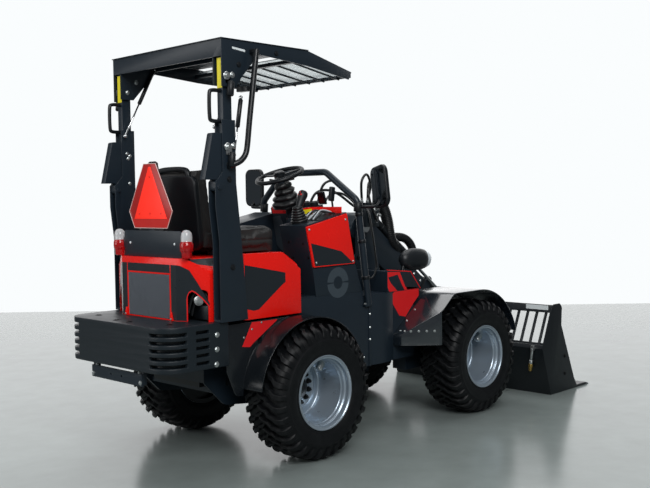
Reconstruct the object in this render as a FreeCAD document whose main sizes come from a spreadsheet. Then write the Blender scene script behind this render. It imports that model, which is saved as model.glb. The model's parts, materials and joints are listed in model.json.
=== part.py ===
"""Mini wheel loader: articulated, canopy over the driver, telescopic boom and a grated bucket.

Millimetres. X runs forward, Y to the driver's left, Z up, and z = 0 is the ground. Every sub-part is drawn
with x = 0 at the rear axle, and its Placement moves it by frame_x into the model's frame.
Pieces on the driver's right are drawn towards -Y and mirrored where the left has the same piece.
"""
import FreeCAD, Part
import Sketcher
import math
import os
import re
from FreeCAD import Placement, Rotation, Vector

SIZES = [
    # whole machine
    ("frame_x", -968, "x of the rear axle in the model's frame"),
    ("wheel_base", 1540, "between the axles"),
    ("pivot_x", 770, "steering pivot ahead of the rear axle"),
    ("gap", 0.3, "between pieces that seat on each other"),
    ("fit", 0.05, "radial clearance of a turning or sliding fit"),
    # wheels and axles
    ("wheel_rad", 380, "tyre outside radius"),
    ("track_half", 535, "tyre centre from the middle plane"),
    ("tyre_width", 300, "over the side walls"),
    ("tread_half", 108, "half of the flat tread"),
    ("bead_rad", 190.5, "15 inch bead seat"),
    ("well_rad", 165, "rim well"),
    ("flange_rad", 210, "rim flange"),
    ("rim_half", 140, "half of the width over the flanges"),
    ("rim_wall", 6, "rim sheet"),
    ("disc_y", 430, "inner face of the wheel disc from the middle plane"),
    ("disc_thick", 12, "wheel disc"),
    ("hub_rad", 60, "hub spigot"),
    ("hub_flange", 100, "hub flange radius"),
    ("axle_rad", 52, "axle tube"),
    # rear frame
    ("plate", 12, "frame plate thickness"),
    ("sheet_wall", 6, "cover sheet thickness"),
    ("frame_half", 302, "outside of the frame plates"),
    ("tail_x", -560, "rear end of the frame plates"),
    ("dash_wall_x", 342, "front end of the frame plates"),
    ("ear_low", 380, "underside of the lower pivot ear"),
    ("ear_top", 880, "top of the upper pivot ear"),
    ("ear_thick", 18, "pivot ears"),
    ("pin_rad", 30, "steering pivot pins"),
    ("weight_x", -930, "rear face of the counterweight"),
    ("weight_half", 470, "half width of the counterweight"),
    ("weight_low", 580, "underside of the counterweight"),
    ("weight_top", 815, "top of the counterweight"),
    ("weight_round", 130, "corner radius of the counterweight"),
    ("slot_high", 18, "height of a slot in the counterweight"),
    ("slot_deep", 35, "depth of a slot in the counterweight"),
    ("slot_pitch", 40, "between slots"),
    ("hood_rear", -690, "rear face of the engine hood"),
    ("hood_half", 420, "half width of the hood"),
    ("hood_top", 1147, "top of the hood, where the seat stands"),
    ("hood_front", 40, "front wall of the hood"),
    ("hood_wall", 5, "hood sheet"),
    ("grille_half", 190, "half width of the radiator grille"),
    ("grille_low", 822, "bottom of the grille"),
    ("grille_top", 1059, "top of the grille"),
    ("side_y", 414, "inside of the side plates"),
    ("skirt_y", 444, "inside of the rear skirts"),
    ("fender_y", 600, "outside of the rear fenders"),
    ("fender_rad", 410, "inside radius of the rear fenders"),
    ("floor_front", 600, "front edge of the floor and the console"),
    ("floor_thick", 8, "floor plate"),
    ("plate_front", 645, "front edge of the side plates"),
    ("plate_low", 410, "lower edge of the side plates"),
    ("pod_y", 200, "inside of the console pods"),
    ("pod_x", 108, "rear edge of the console pods' tops"),
    ("pod_z", 1299, "height of that edge"),
    ("pod_rise", 0.203, "slope of the pods' tops"),
    # driver's place
    ("seat_half", 235, "half width of the seat cushion"),
    ("wheel_ring", 145, "steering wheel ring radius"),
    ("hoop_y", 425, "guard hoop tube from the middle plane"),
    ("hoop_rad", 21, "guard hoop tube radius"),
    ("hoop_top", 1620, "guard hoop top bar"),
    # canopy
    ("post_in", 430, "inside of the posts"),
    ("post_out", 490, "outside of the posts"),
    ("post_top", 1870, "top of the lower posts"),
    ("fold_x", -582, "fold hinge"),
    ("fold_z", 1519, "fold hinge height"),
    ("mast_rear", -540, "rear face of the upper posts"),
    ("mast_front", -482, "front face of the upper posts"),
    ("roof_top", 2285, "top of the canopy side plates"),
    ("roof_rear", -556, "rear edge of the canopy"),
    ("roof_bend", 75, "where the canopy slopes down"),
    ("roof_front", 530, "front edge of the canopy"),
    # front frame
    ("drum_rad", 420, "round housing about the steering pivot"),
    ("drum_low", 410, "underside of the round housing"),
    ("drum_top", 850, "top of the round housing"),
    ("nose_front", 1150, "front face of the front housing"),
    ("nose_half", 392, "half width of the front housing's box and of the cowls"),
    ("slot_half", 86, "half width of the boom slot"),
    ("arch_rad", 443, "inside radius of the front fenders"),
    ("arch_out", 645, "outside of the front fenders"),
    ("arch_in", 302, "inside of the front fenders"),
    ("tower_in", 96, "inside of the boom tower plates"),
    # boom and attachment
    ("boom_x", 970, "boom pivot"),
    ("boom_z", 1260, "boom pivot height"),
    ("boom_slope", 37, "boom's slope when the bucket is on the ground, degrees"),
    ("boom_len", 1396, "boom pivot to attachment pivot"),
    ("boom_half", 75, "half width of the outer boom"),
    ("boom_deep", 95, "half depth of the outer boom"),
    ("outer_len", 800, "outer boom ahead of its pivot"),
    ("inner_half", 60, "half width of the inner boom"),
    ("inner_deep", 70, "half depth of the inner boom"),
    ("boom_pin", 25, "boom pivot pin radius"),
    ("tip_pin", 20, "attachment pivot pin radius"),
    ("lift_x", 880, "lift cylinder base"),
    ("lift_z", 520, "lift cylinder base height"),
    ("lift_pin", 12, "lift cylinder base pin radius"),
    ("tilt_pin", 10, "tilt cylinder base pin radius"),
    ("lift_s", 280, "lift cylinder eye along the boom"),
    ("lift_n", -150, "lift cylinder eye below the boom's centre line"),
    ("tilt_back", 520, "tilt cylinder base behind the attachment pivot"),
    ("tilt_up", 145, "tilt cylinder base above the boom's centre line"),
    ("tilt_arm", 100, "attachment lever radius"),
    ("tilt_angle", 66, "attachment lever angle above forward, degrees"),
    ("bucket_half", 727, "half width over the bucket side plates"),
    ("bucket_back", 2185, "rearmost edge of the bucket"),
    ("bucket_foot", 2300, "rear edge of the bucket floor"),
    ("bucket_lip", 2865, "cutting edge tip"),
    ("bucket_wall", 8, "bucket plate"),
    ("bar_rad", 9, "bucket grate bar"),
    ("bar_pitch", 76, "between grate bars"),
]

document = FreeCAD.newDocument("MiniWheelLoader")
sheet = document.addObject("Spreadsheet::Sheet", "sheet")
for row, (alias, value, meaning) in enumerate(SIZES, start=1):
    sheet.set(f"A{row}", meaning)
    sheet.set(f"B{row}", str(value))
    sheet.setAlias(f"B{row}", alias)
document.recompute()

ALIAS = re.compile(r"\b(" + "|".join(alias for alias, _, _ in SIZES) + r")\b")
EAST = Vector(1, 0, 0)
NORTH = Vector(0, 1, 0)
UP = Vector(0, 0, 1)
parts = []
counter = [0]


def bind(text):
    """The expression with each size name pointed at its cell."""
    return ALIAS.sub(r"sheet.\1", str(text))


def size(text):
    """The value of an expression of size names."""
    return float(sheet.evalExpression(bind(text)))


def fresh(kind):
    """A new internal name."""
    counter[0] += 1
    return f"{kind}{counter[0]}"


def add(kind, **expressions):
    """A document object whose properties follow the given expressions."""
    thing = document.addObject(kind, fresh(kind.split("::")[1]))
    for name, text in expressions.items():
        thing.setExpression(name, bind(text))
    return thing


def place(thing, x="0", y="0", z="0", axis=UP, angle=0):
    """Puts a primitive at x, y, z, turned by an angle in degrees about an axis."""
    thing.Placement = Placement(Vector(), Rotation(axis, angle))
    thing.setExpression("Placement.Base.x", bind(x))
    thing.setExpression("Placement.Base.y", bind(y))
    thing.setExpression("Placement.Base.z", bind(z))
    return thing


def finish(label, thing, x="0", y="0", z="0", axis=NORTH, angle=None):
    """Names a sub-part and gives it its Placement: its own origin at x, y, z from the rear axle."""
    if thing.TypeId != "PartDesign::Body":
        wrapped = document.addObject("Part::Compound", fresh("Compound"))
        wrapped.Links = [thing]
        thing = wrapped
    thing.Label = label
    turn = size(angle) if angle is not None else 0
    place(thing, f"frame_x + {x}", y, z, axis, turn)
    if angle is not None:
        thing.setExpression("Placement.Rotation.Angle", bind(angle))
    parts.append(thing)
    return thing


def body():
    """An empty PartDesign body."""
    return document.addObject("PartDesign::Body", fresh("Body"))


def origin_feature(owner, role):
    """A body's own plane or axis, such as XZ_Plane."""
    for feature in owner.Origin.OriginFeatures:
        if feature.Role == role:
            return feature
    raise ValueError(role)


def sketch(owner, plane, start):
    """A sketch on one of the body's planes, moved along the plane's normal by start."""
    made = owner.newObject("Sketcher::SketchObject", fresh("Sketch"))
    made.AttachmentSupport = [(origin_feature(owner, plane), "")]
    made.MapMode = "FlatFace"
    made.setExpression("AttachmentOffset.Base.z", bind(start))
    return made


def drive(made, kind, text, *where):
    """A sized constraint that follows an expression."""
    index = made.addConstraint(Sketcher.Constraint(kind, *where, size(text)))
    made.setExpression(f"Constraints[{index}]", bind(text))


def round_corner(made, before, after, corner, towards_last, towards_next, radius):
    """A tangent arc between two lines, with a point kept at the sharp corner."""
    half = towards_last.getAngle(towards_next) / 2
    bisector = (towards_last + towards_next).normalize()
    centre = corner + bisector * (size(radius) / math.sin(half))
    reach = size(radius) / math.tan(half)
    left_turn = towards_last.cross(towards_next).z < 0
    ends = [corner + towards_last * reach - centre, corner + towards_next * reach - centre]
    if not left_turn:
        ends.reverse()
    start = math.atan2(ends[0].y, ends[0].x)
    sweep = (math.atan2(ends[1].y, ends[1].x) - start) % (2 * math.pi)
    ring = Part.Circle(centre, UP, size(radius))
    arc = made.addGeometry(Part.ArcOfCircle(ring, start, start + sweep), False)
    first = 1 if left_turn else 2
    point = made.addGeometry(Part.Point(corner), True)
    made.addConstraint([
        Sketcher.Constraint("Tangent", before, 2, arc, first),
        Sketcher.Constraint("Tangent", arc, 3 - first, after, 1),
        Sketcher.Constraint("PointOnObject", point, 1, before),
        Sketcher.Constraint("PointOnObject", point, 1, after),
    ])
    drive(made, "Radius", radius, arc)
    return point


def outline(made, points):
    """A closed outline of straight lines through points (x, y) or (x, y, corner radius)."""
    corners = [Vector(size(point[0]), size(point[1]), 0) for point in points]
    count = len(points)
    turns = []
    for index, point in enumerate(points):
        last = (corners[index - 1] - corners[index]).normalize()
        following = (corners[(index + 1) % count] - corners[index]).normalize()
        reach = size(point[2]) / math.tan(last.getAngle(following) / 2) if len(point) > 2 else 0
        turns.append((last, following, reach))
    lines = []
    for index in range(count):
        ahead = (index + 1) % count
        start = corners[index] + turns[index][1] * turns[index][2]
        end = corners[ahead] + turns[ahead][0] * turns[ahead][2]
        lines.append(made.addGeometry(Part.LineSegment(start, end), False))
    for index, point in enumerate(points):
        before, after = lines[index - 1], lines[index]
        if len(point) > 2:
            last, following, _ = turns[index]
            anchor = round_corner(made, before, after, corners[index], last, following, point[2])
        else:
            made.addConstraint(Sketcher.Constraint("Coincident", before, 2, after, 1))
            anchor = after
        drive(made, "DistanceX", point[0], -1, 1, anchor, 1)
        drive(made, "DistanceY", point[1], -1, 1, anchor, 1)


def circle(made, x, y, radius):
    """A circle in a sketch."""
    centre = Vector(size(x), size(y), 0)
    ring = made.addGeometry(Part.Circle(centre, UP, size(radius)), False)
    drive(made, "Radius", radius, ring)
    drive(made, "DistanceX", x, -1, 1, ring, 3)
    drive(made, "DistanceY", y, -1, 1, ring, 3)


def draw(owner, plane, start, outlines=(), circles=()):
    """A sketch of outlines and circles."""
    made = sketch(owner, plane, start)
    for points in outlines:
        outline(made, points)
    for x, y, radius in circles:
        circle(made, x, y, radius)
    return made


def pad(owner, plane, start, length, outlines=(), circles=(), middle=False):
    """A pad from a sketch at start, along the plane's normal, or half to each side of it."""
    feature = owner.newObject("PartDesign::Pad", fresh("Pad"))
    feature.Profile = draw(owner, plane, start, outlines, circles)
    feature.setExpression("Length", bind(length))
    feature.Midplane = middle
    return feature


def pocket(owner, plane, start, length, outlines=(), circles=(), middle=False):
    """A pocket from a sketch at start, along the plane's normal, or half to each side of it."""
    feature = owner.newObject("PartDesign::Pocket", fresh("Pocket"))
    feature.Profile = draw(owner, plane, start, outlines, circles)
    feature.setExpression("Length", bind(length))
    feature.Midplane = middle
    feature.Reversed = not middle
    return feature


def repeat(owner, feature, axis, length, count):
    """A feature repeated along one of the body's axes over a whole length."""
    pattern = owner.newObject("PartDesign::LinearPattern", fresh("Pattern"))
    pattern.Originals = [feature]
    pattern.Direction = (origin_feature(owner, axis), [""])
    pattern.setExpression("Length", bind(length))
    pattern.Occurrences = count
    owner.Tip = pattern
    return pattern


def turned(plane, axis, points):
    """A body revolved about one of its own axes."""
    owner = body()
    feature = owner.newObject("PartDesign::Revolution", fresh("Revolution"))
    feature.Profile = draw(owner, plane, "0", [points])
    feature.ReferenceAxis = (origin_feature(owner, axis), [""])
    feature.Angle = 360
    return owner


def side_plate(start, thick, points, circles=()):
    """A plate on the driver's right, parallel to the middle plane."""
    owner = body()
    pad(owner, "XZ_Plane", start, thick, [points], circles)
    return owner


def middle_block(width, points, circles=()):
    """A piece of the given width across the middle plane."""
    owner = body()
    pad(owner, "XZ_Plane", "0", width, [points], circles, middle=True)
    return owner


def flat_plate(start, thick, points, circles=()):
    """A level plate with its underside at start."""
    owner = body()
    pad(owner, "XY_Plane", start, thick, [points], circles)
    return owner


def box(x, y, z, length, width, height):
    """A block from its lowest corner."""
    return place(add("Part::Box", Length=length, Width=width, Height=height), x, y, z)


def rod(x, y, z, radius, length, axis=UP, angle=0):
    """A cylinder from the middle of its first end; unturned, it points up."""
    return place(add("Part::Cylinder", Radius=radius, Height=length), x, y, z, axis, angle)


def cross_rod(x, z, radius, y, length):
    """A cylinder across the machine, from y towards the driver's right."""
    return rod(x, y, z, radius, length, EAST, 90)


def join(*pieces):
    """Several pieces as one."""
    made = document.addObject("Part::MultiFuse", fresh("Fuse"))
    made.Shapes = list(pieces)
    return made


def cut(base, tool):
    """A piece with another taken out of it."""
    made = document.addObject("Part::Cut", fresh("Cut"))
    made.Base = base
    made.Tool = tool
    return made


def overlap(first, second):
    """What two pieces have in common."""
    made = document.addObject("Part::MultiCommon", fresh("Common"))
    made.Shapes = [first, second]
    return made


def mirrored(piece):
    """The same piece on the driver's other side."""
    made = document.addObject("Part::Mirroring", fresh("Mirror"))
    made.Source = piece
    made.Normal = NORTH
    return made


def together(*pieces):
    """Separate solids in one sub-part."""
    made = document.addObject("Part::Compound", fresh("Group"))
    made.Links = list(pieces)
    return made


def pair(piece):
    """A piece and its mirror image."""
    return together(piece, mirrored(piece))


def bent_tube(points, radius, bend):
    """A tube along straight runs joined by tangent arcs; a Part::Feature, because its path is in space."""
    turns = [Vector(*[size(value) for value in point]) for point in points]
    edges = []
    last = turns[0]
    for before, corner, after in zip(turns, turns[1:], turns[2:]):
        back = (before - corner).normalize()
        onward = (after - corner).normalize()
        half = back.getAngle(onward) / 2
        entry = corner + back * (bend / math.tan(half))
        leave = corner + onward * (bend / math.tan(half))
        crown = corner + (back + onward).normalize() * (bend / math.sin(half) - bend)
        edges.append(Part.LineSegment(last, entry).toShape())
        edges.append(Part.Arc(entry, crown, leave).toShape())
        last = leave
    edges.append(Part.LineSegment(last, turns[-1]).toShape())
    path = Part.Wire(edges)
    ring = Part.Wire(Part.Circle(turns[0], turns[1] - turns[0], radius).toShape())
    made = document.addObject("Part::Feature", fresh("Tube"))
    made.Shape = path.makePipeShell([ring], True, True)
    return made


# ---------------------------------------------------------------- wheels and axles

def tyre(label, x, y, turn):
    """A tyre as a closed ring; the lugs reach wheel_rad."""
    half = [
        ("bead_rad + gap", "rim_half - rim_wall - gap"),
        ("flange_rad + 4", "rim_half - rim_wall - gap"),
        ("flange_rad + 8", "rim_half + 2"),
        ("flange_rad + 45", "tyre_width / 2", "60"),
        ("wheel_rad - 50", "tyre_width / 2", "60"),
        ("wheel_rad", "tread_half"),
    ]
    mirror = [(point[0], "-(" + point[1] + ")") + point[2:] for point in reversed(half)]
    owner = turned("XY_Plane", "Y_Axis", half + mirror)
    finish(label, owner, x, y, "wheel_rad", UP, turn)


def rim(label, x, y, turn):
    """A dished steel rim: two flanges, a deep well and a disc near the inner side."""
    outer = [
        ("flange_rad", "rim_half"),
        ("flange_rad", "rim_half - rim_wall"),
        ("bead_rad", "rim_half - rim_wall"),
        ("bead_rad", "rim_half - 42"),
        ("well_rad", "rim_half - 62"),
        ("well_rad", "-(rim_half - 24)"),
        ("bead_rad", "-(rim_half - 18)"),
        ("bead_rad", "-(rim_half - rim_wall)"),
        ("flange_rad", "-(rim_half - rim_wall)"),
        ("flange_rad", "-rim_half"),
        ("bead_rad - rim_wall", "-rim_half"),
        ("bead_rad - rim_wall", "-(rim_half - 12)"),
        ("well_rad - rim_wall", "-(rim_half - 18)"),
        ("well_rad - rim_wall", "disc_y - track_half"),
        ("hub_rad + fit", "disc_y - track_half"),
        ("hub_rad + fit", "disc_y - track_half + disc_thick"),
        ("well_rad - rim_wall", "disc_y - track_half + disc_thick"),
        ("well_rad - rim_wall", "rim_half - 56"),
        ("bead_rad - rim_wall", "rim_half - 36"),
        ("bead_rad - rim_wall", "rim_half"),
    ]
    owner = turned("XY_Plane", "Y_Axis", outer)
    finish(label, owner, x, y, "wheel_rad", UP, turn)


def axle(label, x):
    """An axle beam with its drive housing, hub flanges and the spigots that carry the wheels."""
    reach = "disc_y - gap"
    tube = cross_rod("0", "0", "axle_rad", reach, f"2 * ({reach})")
    flange = cross_rod("0", "0", "hub_flange", f"-({reach}) + 20", "20")
    spigot = cross_rod("0", "0", "hub_rad", "-disc_y + 15", "45")
    housing = body()
    drive = [("-115", "-95", "40"), ("115", "-95", "40"), ("115", "95", "40"), ("-115", "95", "40")]
    pad(housing, "XZ_Plane", "0", "190", [drive], middle=True)
    hubs = [flange, spigot, mirrored(flange), mirrored(spigot)]
    finish(label, join(tube, housing, *hubs), x, "0", "wheel_rad")


# ---------------------------------------------------------------- rear frame

def rear_chassis():
    """Two frame plates, their cross members and the two ears with the steering pivot's pins."""
    profile = [
        ("tail_x", "800"),
        ("tail_x", "470", "40"),
        ("-420", "330", "60"),
        ("-160", "300"),
        ("dash_wall_x", "300"),
        ("dash_wall_x", "ear_top"),
        ("hood_front + 10", "ear_top"),
        ("hood_front + 10", "800"),
    ]
    plate = side_plate("frame_half - plate", "plate", profile, [("0", "wheel_rad", "axle_rad + gap")])
    across = "2 * frame_half"
    members = [
        box("dash_wall_x - plate", "-frame_half", "300", "plate", across, "ear_top - 300"),
        box("tail_x", "-frame_half", "470", "plate", across, "330"),
        box("-160", "-frame_half", "300", "plate", across, "25"),
        box("140", "-frame_half", "300", "plate", across, "25"),
        box("-480", "-frame_half", "400", "40", across, "30 - gap"),
        box("-220", "-frame_half", "400", "40", across, "30 - gap"),
    ]
    ear = [
        ("dash_wall_x - 2", "-240"),
        ("pivot_x - 60", "-85", "60"),
        ("pivot_x + 70", "-60", "60"),
        ("pivot_x + 70", "60", "60"),
        ("pivot_x - 60", "85", "60"),
        ("dash_wall_x - 2", "240"),
    ]
    upper = flat_plate("ear_top - ear_thick", "ear_thick", ear)
    lower = flat_plate("ear_low", "ear_thick", ear)
    pins = [
        rod("pivot_x", "0", "drum_top - 55", "pin_rad", "ear_top - drum_top + 60"),
        rod("pivot_x", "0", "ear_top - 1", "pin_rad + 14", "15"),
        rod("pivot_x", "0", "ear_low - 5", "pin_rad", "drum_low - ear_low + 60"),
        rod("pivot_x", "0", "ear_low - 14", "pin_rad + 14", "15"),
    ]
    finish("rear_chassis", join(plate, mirrored(plate), upper, lower, *members, *pins))


def engine_block():
    """The engine as one plain mass on its cross members, and the two tanks under the seat."""
    block = [("tail_x + 40", "430"), ("-150", "430"), ("-150", "1040", "30"), ("tail_x + 40", "1040", "30")]
    tank = [("-390", "800 + gap"), ("30", "800 + gap"), ("30", "1060", "30"), ("-390", "1060", "30")]
    finish("engine_block", together(middle_block("420", block), pair(side_plate("225", "180", tank))))


def counterweight():
    """A cast block round the tail with rows of slots in its corners and sides."""
    owner = body()
    inner_y = "frame_half + gap"
    plan = [
        ("weight_x", "-weight_half", "weight_round"),
        ("tail_x + 40", "-weight_half"),
        ("tail_x + 40", f"-({inner_y})"),
        ("tail_x - gap", f"-({inner_y})"),
        ("tail_x - gap", inner_y),
        ("tail_x + 40", inner_y),
        ("tail_x + 40", "weight_half"),
        ("weight_x", "weight_half", "weight_round"),
    ]
    pad(owner, "XY_Plane", "weight_low", "weight_top - weight_low", [plan])
    slots = []
    for side in ("-", ""):
        slots.append([
            ("weight_x - 10", f"{side}(weight_half - weight_round - 8)"),
            ("weight_x - 10", f"{side}(weight_half + 10)", "weight_round + 10"),
            ("weight_x + weight_round + 8", f"{side}(weight_half + 10)"),
            ("weight_x + weight_round + 8", f"{side}(weight_half - slot_deep)"),
            ("weight_x + slot_deep", f"{side}(weight_half - slot_deep)", "weight_round - slot_deep"),
            ("weight_x + slot_deep", f"{side}(weight_half - weight_round - 8)"),
        ])
        slots.append([
            ("weight_x + 195", f"{side}(weight_half + 10)"),
            ("weight_x + 280", f"{side}(weight_half + 10)"),
            ("weight_x + 280", f"{side}(weight_half - slot_deep)"),
            ("weight_x + 195", f"{side}(weight_half - slot_deep)"),
        ])
    row = pocket(owner, "XY_Plane", "weight_low + 27", "slot_high", slots)
    repeat(owner, row, "Z_Axis", "4 * slot_pitch", 5)
    finish("counterweight", owner)


def tow_plate():
    """The bolted plate under the counterweight, with two holes for an accessory."""
    owner = body()
    face = [("-235", "497"), ("235", "497"), ("235", "562"), ("-235", "562")]
    pad(owner, "YZ_Plane", "-911", "12", [face], [("-50", "530", "6.5"), ("50", "530", "6.5")])
    for low in ("-235", "195"):
        tab = [(low, "505"), (f"{low} + 40", "505"), (f"{low} + 40", "weight_low - gap"),
               (low, "weight_low - gap")]
        pad(owner, "YZ_Plane", "-899", "20", [tab])
    finish("tow_plate", owner)


def hood_form(inset, low):
    """The hood's outer or inner form: its plan and its cross-section together."""
    plan = [
        (f"hood_rear + {inset}", f"-250 + {inset} / 2"),
        (f"-600 + {inset}", f"-hood_half + {inset}"),
        (f"hood_front - {inset}", f"-hood_half + {inset}"),
        (f"hood_front - {inset}", f"hood_half - {inset}"),
        (f"-600 + {inset}", f"hood_half - {inset}"),
        (f"hood_rear + {inset}", f"250 - {inset} / 2"),
    ]
    section = [
        (f"-hood_half + {inset}", low),
        (f"-hood_half + {inset}", "hood_top - 67", "25"),
        ("-300", f"hood_top - {inset}", "40"),
        ("300", f"hood_top - {inset}", "40"),
        (f"hood_half - {inset}", "hood_top - 67", "25"),
        (f"hood_half - {inset}", low),
    ]
    column = flat_plate(low, "400", plan)
    bar = body()
    pad(bar, "YZ_Plane", "hood_rear - 20", "hood_front - hood_rear + 40", [section])
    return overlap(column, bar)


def engine_hood():
    """The red hood: hollow, with the grille opening and a cut-out in each rear flank."""
    shell = cut(hood_form("0", "weight_top + gap"), hood_form("hood_wall", "weight_top - 20"))
    mouth = box("hood_rear - 5", "-grille_half - gap", "grille_low - gap", "30",
                "2 * (grille_half + gap)", "grille_top - grille_low + 2 * gap")
    window = body()
    edge = [
        ("-660", "weight_top - 10"),
        ("-570", "weight_top - 10"),
        ("-570", "905"),
        ("-610", "985", "20"),
        ("-660", "985", "20"),
    ]
    pad(window, "XZ_Plane", "240", "170", [edge])
    finish("engine_hood", cut(cut(cut(shell, mouth), window), mirrored(window)))


def radiator_grille():
    """A thin frame full of upright bars, set in the hood's mouth."""
    owner = body()
    face = [
        ("-grille_half", "grille_low"),
        ("grille_half", "grille_low"),
        ("grille_half", "grille_top"),
        ("-grille_half", "grille_top"),
    ]
    pad(owner, "YZ_Plane", "hood_rear + 1", "3", [face])
    bar = [
        ("-grille_half + 6", "grille_low"),
        ("-grille_half + 12", "grille_low"),
        ("-grille_half + 12", "grille_top"),
        ("-grille_half + 6", "grille_top"),
    ]
    first = pad(owner, "YZ_Plane", "hood_rear - 3", "4", [bar])
    repeat(owner, first, "Y_Axis", "2 * grille_half - 18", 21)
    finish("radiator_grille", owner)


def side_panels():
    """The red panels: one ahead of each post, and one on the outside of each console pod."""
    rear = [
        ("-386", "804"),
        ("37", "804"),
        ("37", "1056", "12"),
        ("-110", "1160", "12"),
        ("-386", "1162"),
    ]
    front = [("113", "1292", "8"), ("166", "1053", "8"), ("524", "1057", "8"), ("458", "1364", "8")]
    finish("side_panels", together(pair(side_plate("hood_half + gap", "28", rear)),
                                   pair(side_plate("side_y + gap", "11", front))))


def rear_fenders():
    """Each fender: a band round the wheel and the skirt that joins it to the counterweight."""
    band = add("Part::Cylinder", Radius="fender_rad + sheet_wall", Height="fender_y - frame_half - gap")
    band.Angle = 157
    place(band, "0", "-frame_half - gap", "wheel_rad", EAST, 90)
    band.Placement = Placement(Vector(), Rotation(EAST, 90) * Rotation(UP, 15))
    inner = cross_rod("0", "wheel_rad", "fender_rad", "-frame_half + 20", "fender_y")
    skirt = body()
    profile = [
        ("tail_x + 40 + gap", "792"),
        ("tail_x + 40 + gap", "540", "30"),
        ("-460", "400", "40"),
        ("-300", "400"),
        ("-300", "700"),
        ("hood_front - 5", "700"),
        ("hood_front - 5", "792"),
    ]
    pad(skirt, "XZ_Plane", "skirt_y", "sheet_wall", [profile])
    finish("rear_fenders", pair(cut(join(band, skirt), inner)))


def side_plates():
    """The plates below the console on both sides, with a folded front edge, and the dark skins above."""
    profile = [
        ("hood_front + gap", "ear_top"),
        ("hood_front + gap", "700"),
        ("300", "500"),
        ("330", "plate_low"),
        ("plate_front", "plate_low"),
        ("plate_front", "782"),
        ("plate_front - 50", "782"),
        ("plate_front - 50", "ear_top"),
    ]
    owner = side_plate("side_y", "sheet_wall", profile)
    pocket(owner, "XZ_Plane", "side_y - 5", "30", [], [("0", "wheel_rad", "fender_rad + sheet_wall + gap")])
    fold = [
        ("plate_front - 1", "-side_y - 14"),
        ("plate_front + 15", "-side_y - 14"),
        ("plate_front + 15", "-side_y"),
        ("plate_front - 1", "-side_y"),
    ]
    pad(owner, "XY_Plane", "plate_low", "785 - plate_low", [fold])
    skin = side_plate("side_y + gap", "sheet_wall", [
        ("188", "ear_top + gap"),
        ("590", "ear_top + gap"),
        ("534", "1049"),
        ("164", "1047"),
    ])
    finish("side_plates", together(pair(owner), pair(skin)))


def floor_plate():
    """The driver's floor."""
    plan = [
        ("hood_front + gap", "-side_y + gap"),
        ("floor_front", "-side_y + gap"),
        ("floor_front", "side_y - gap"),
        ("hood_front + gap", "side_y - gap"),
    ]
    finish("floor_plate", flat_plate("ear_top", "floor_thick", plan))


def console():
    """Two pods beside the driver's legs, the wall between them and the leaning steering column."""
    profile = [
        ("190", "ear_top + floor_thick"),
        ("162", "1050"),
        ("pod_x", "pod_z"),
        ("463", "pod_z + pod_rise * (463 - pod_x)"),
        ("530", "1054"),
        ("floor_front", "ear_top + floor_thick"),
    ]
    pod = side_plate("pod_y", "side_y - pod_y", profile)
    wall = middle_block("2 * pod_y + 2", [
        ("floor_front - 90", "ear_top + floor_thick"),
        ("floor_front - 190", "1400"),
        ("floor_front - 120", "1418"),
        ("floor_front", "ear_top + floor_thick"),
    ])
    shaft = rod("470", "0", "1150", "24", "465", NORTH, -20)
    boot = place(add("Part::Cone", Radius1="62", Radius2="34", Height="150"), "452", "0", "1200", NORTH, -20)
    finish("console", join(pod, mirrored(pod), wall, shaft, boot))


def steering_wheel():
    """Ring, three spokes and hub, square to the column."""
    ring = add("Part::Torus", Radius1="wheel_ring", Radius2="13")
    hub = rod("0", "0", "-14", "36", "30")
    spokes = []
    for angle in (90, 210, 330):
        spoke = add("Part::Box", Length="wheel_ring", Width="22", Height="8")
        turn = Rotation(UP, angle)
        spoke.Placement = Placement(turn.multVec(Vector(0, -11, -4)), turn)
        spokes.append(spoke)
    finish("steering_wheel", join(ring, hub, *spokes), "470 - 480 * sin(20)", "0",
           "1150 + 480 * cos(20)", NORTH, "-20")


def control_levers():
    """The main lever with its bellows on the right pod, and the auxiliary lever ahead of it."""
    top = "pod_z + gap * 1.1 + pod_rise * "
    lean = -11.5
    bellows = place(add("Part::Cone", Radius1="50", Radius2="26", Height="100"), "185", "-295",
                    f"{top} (185 - pod_x)", NORTH, lean)
    grip = rod("176", "-295", "1385", "19", "112", NORTH, 25)
    stalk = rod("440", "-330", f"{top} (440 - pod_x)", "6", "90", NORTH, lean)
    knob = rod("422", "-330", "1440", "15", "84", NORTH, 8)
    finish("control_levers", together(join(bellows, grip), join(stalk, knob)))


def guard_hoop():
    """The tube hoop over the console, from one side plate to the other, with its feet."""
    half = [("plate_front", "-hoop_y", "794"), ("552", "-hoop_y", "1440"), ("515", "-195", "hoop_top")]
    other = [(x, "-(" + y + ")", z) for x, y, z in reversed(half)]
    tube = bent_tube(half + other, size("hoop_rad"), 60)
    foot = box("plate_front - 40", "-hoop_y - 15", "785 + gap", "50", "35", "14")
    finish("guard_hoop", join(tube, foot, mirrored(foot)))


def mirrors():
    """Both rear-view mirrors on arms from the guard hoop."""
    heads = []
    for _ in range(2):
        head = body()
        pad(head, "YZ_Plane", "-16", "32", [[
            ("-85", "-127", "45"),
            ("85", "-127", "45"),
            ("85", "127", "45"),
            ("-85", "127", "45"),
        ]])
        heads.append(head)
    turned_in = Rotation(UP, -18).multiply(Rotation(EAST, -10))
    right = together(heads[0])
    right.Placement = Placement(Vector(606, -566, 1522), turned_in)
    left = together(heads[1])
    left.Placement = Placement(Vector(606, 570, 1536), Rotation())
    arm = bent_tube([("558", "-(hoop_y + hoop_rad + gap)", "1400"), ("562", "-570", "1400"),
                     ("606", "-570", "1455")], 9, 24)
    finish("mirrors", together(join(right, arm), join(left, mirrored(arm))))


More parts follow.
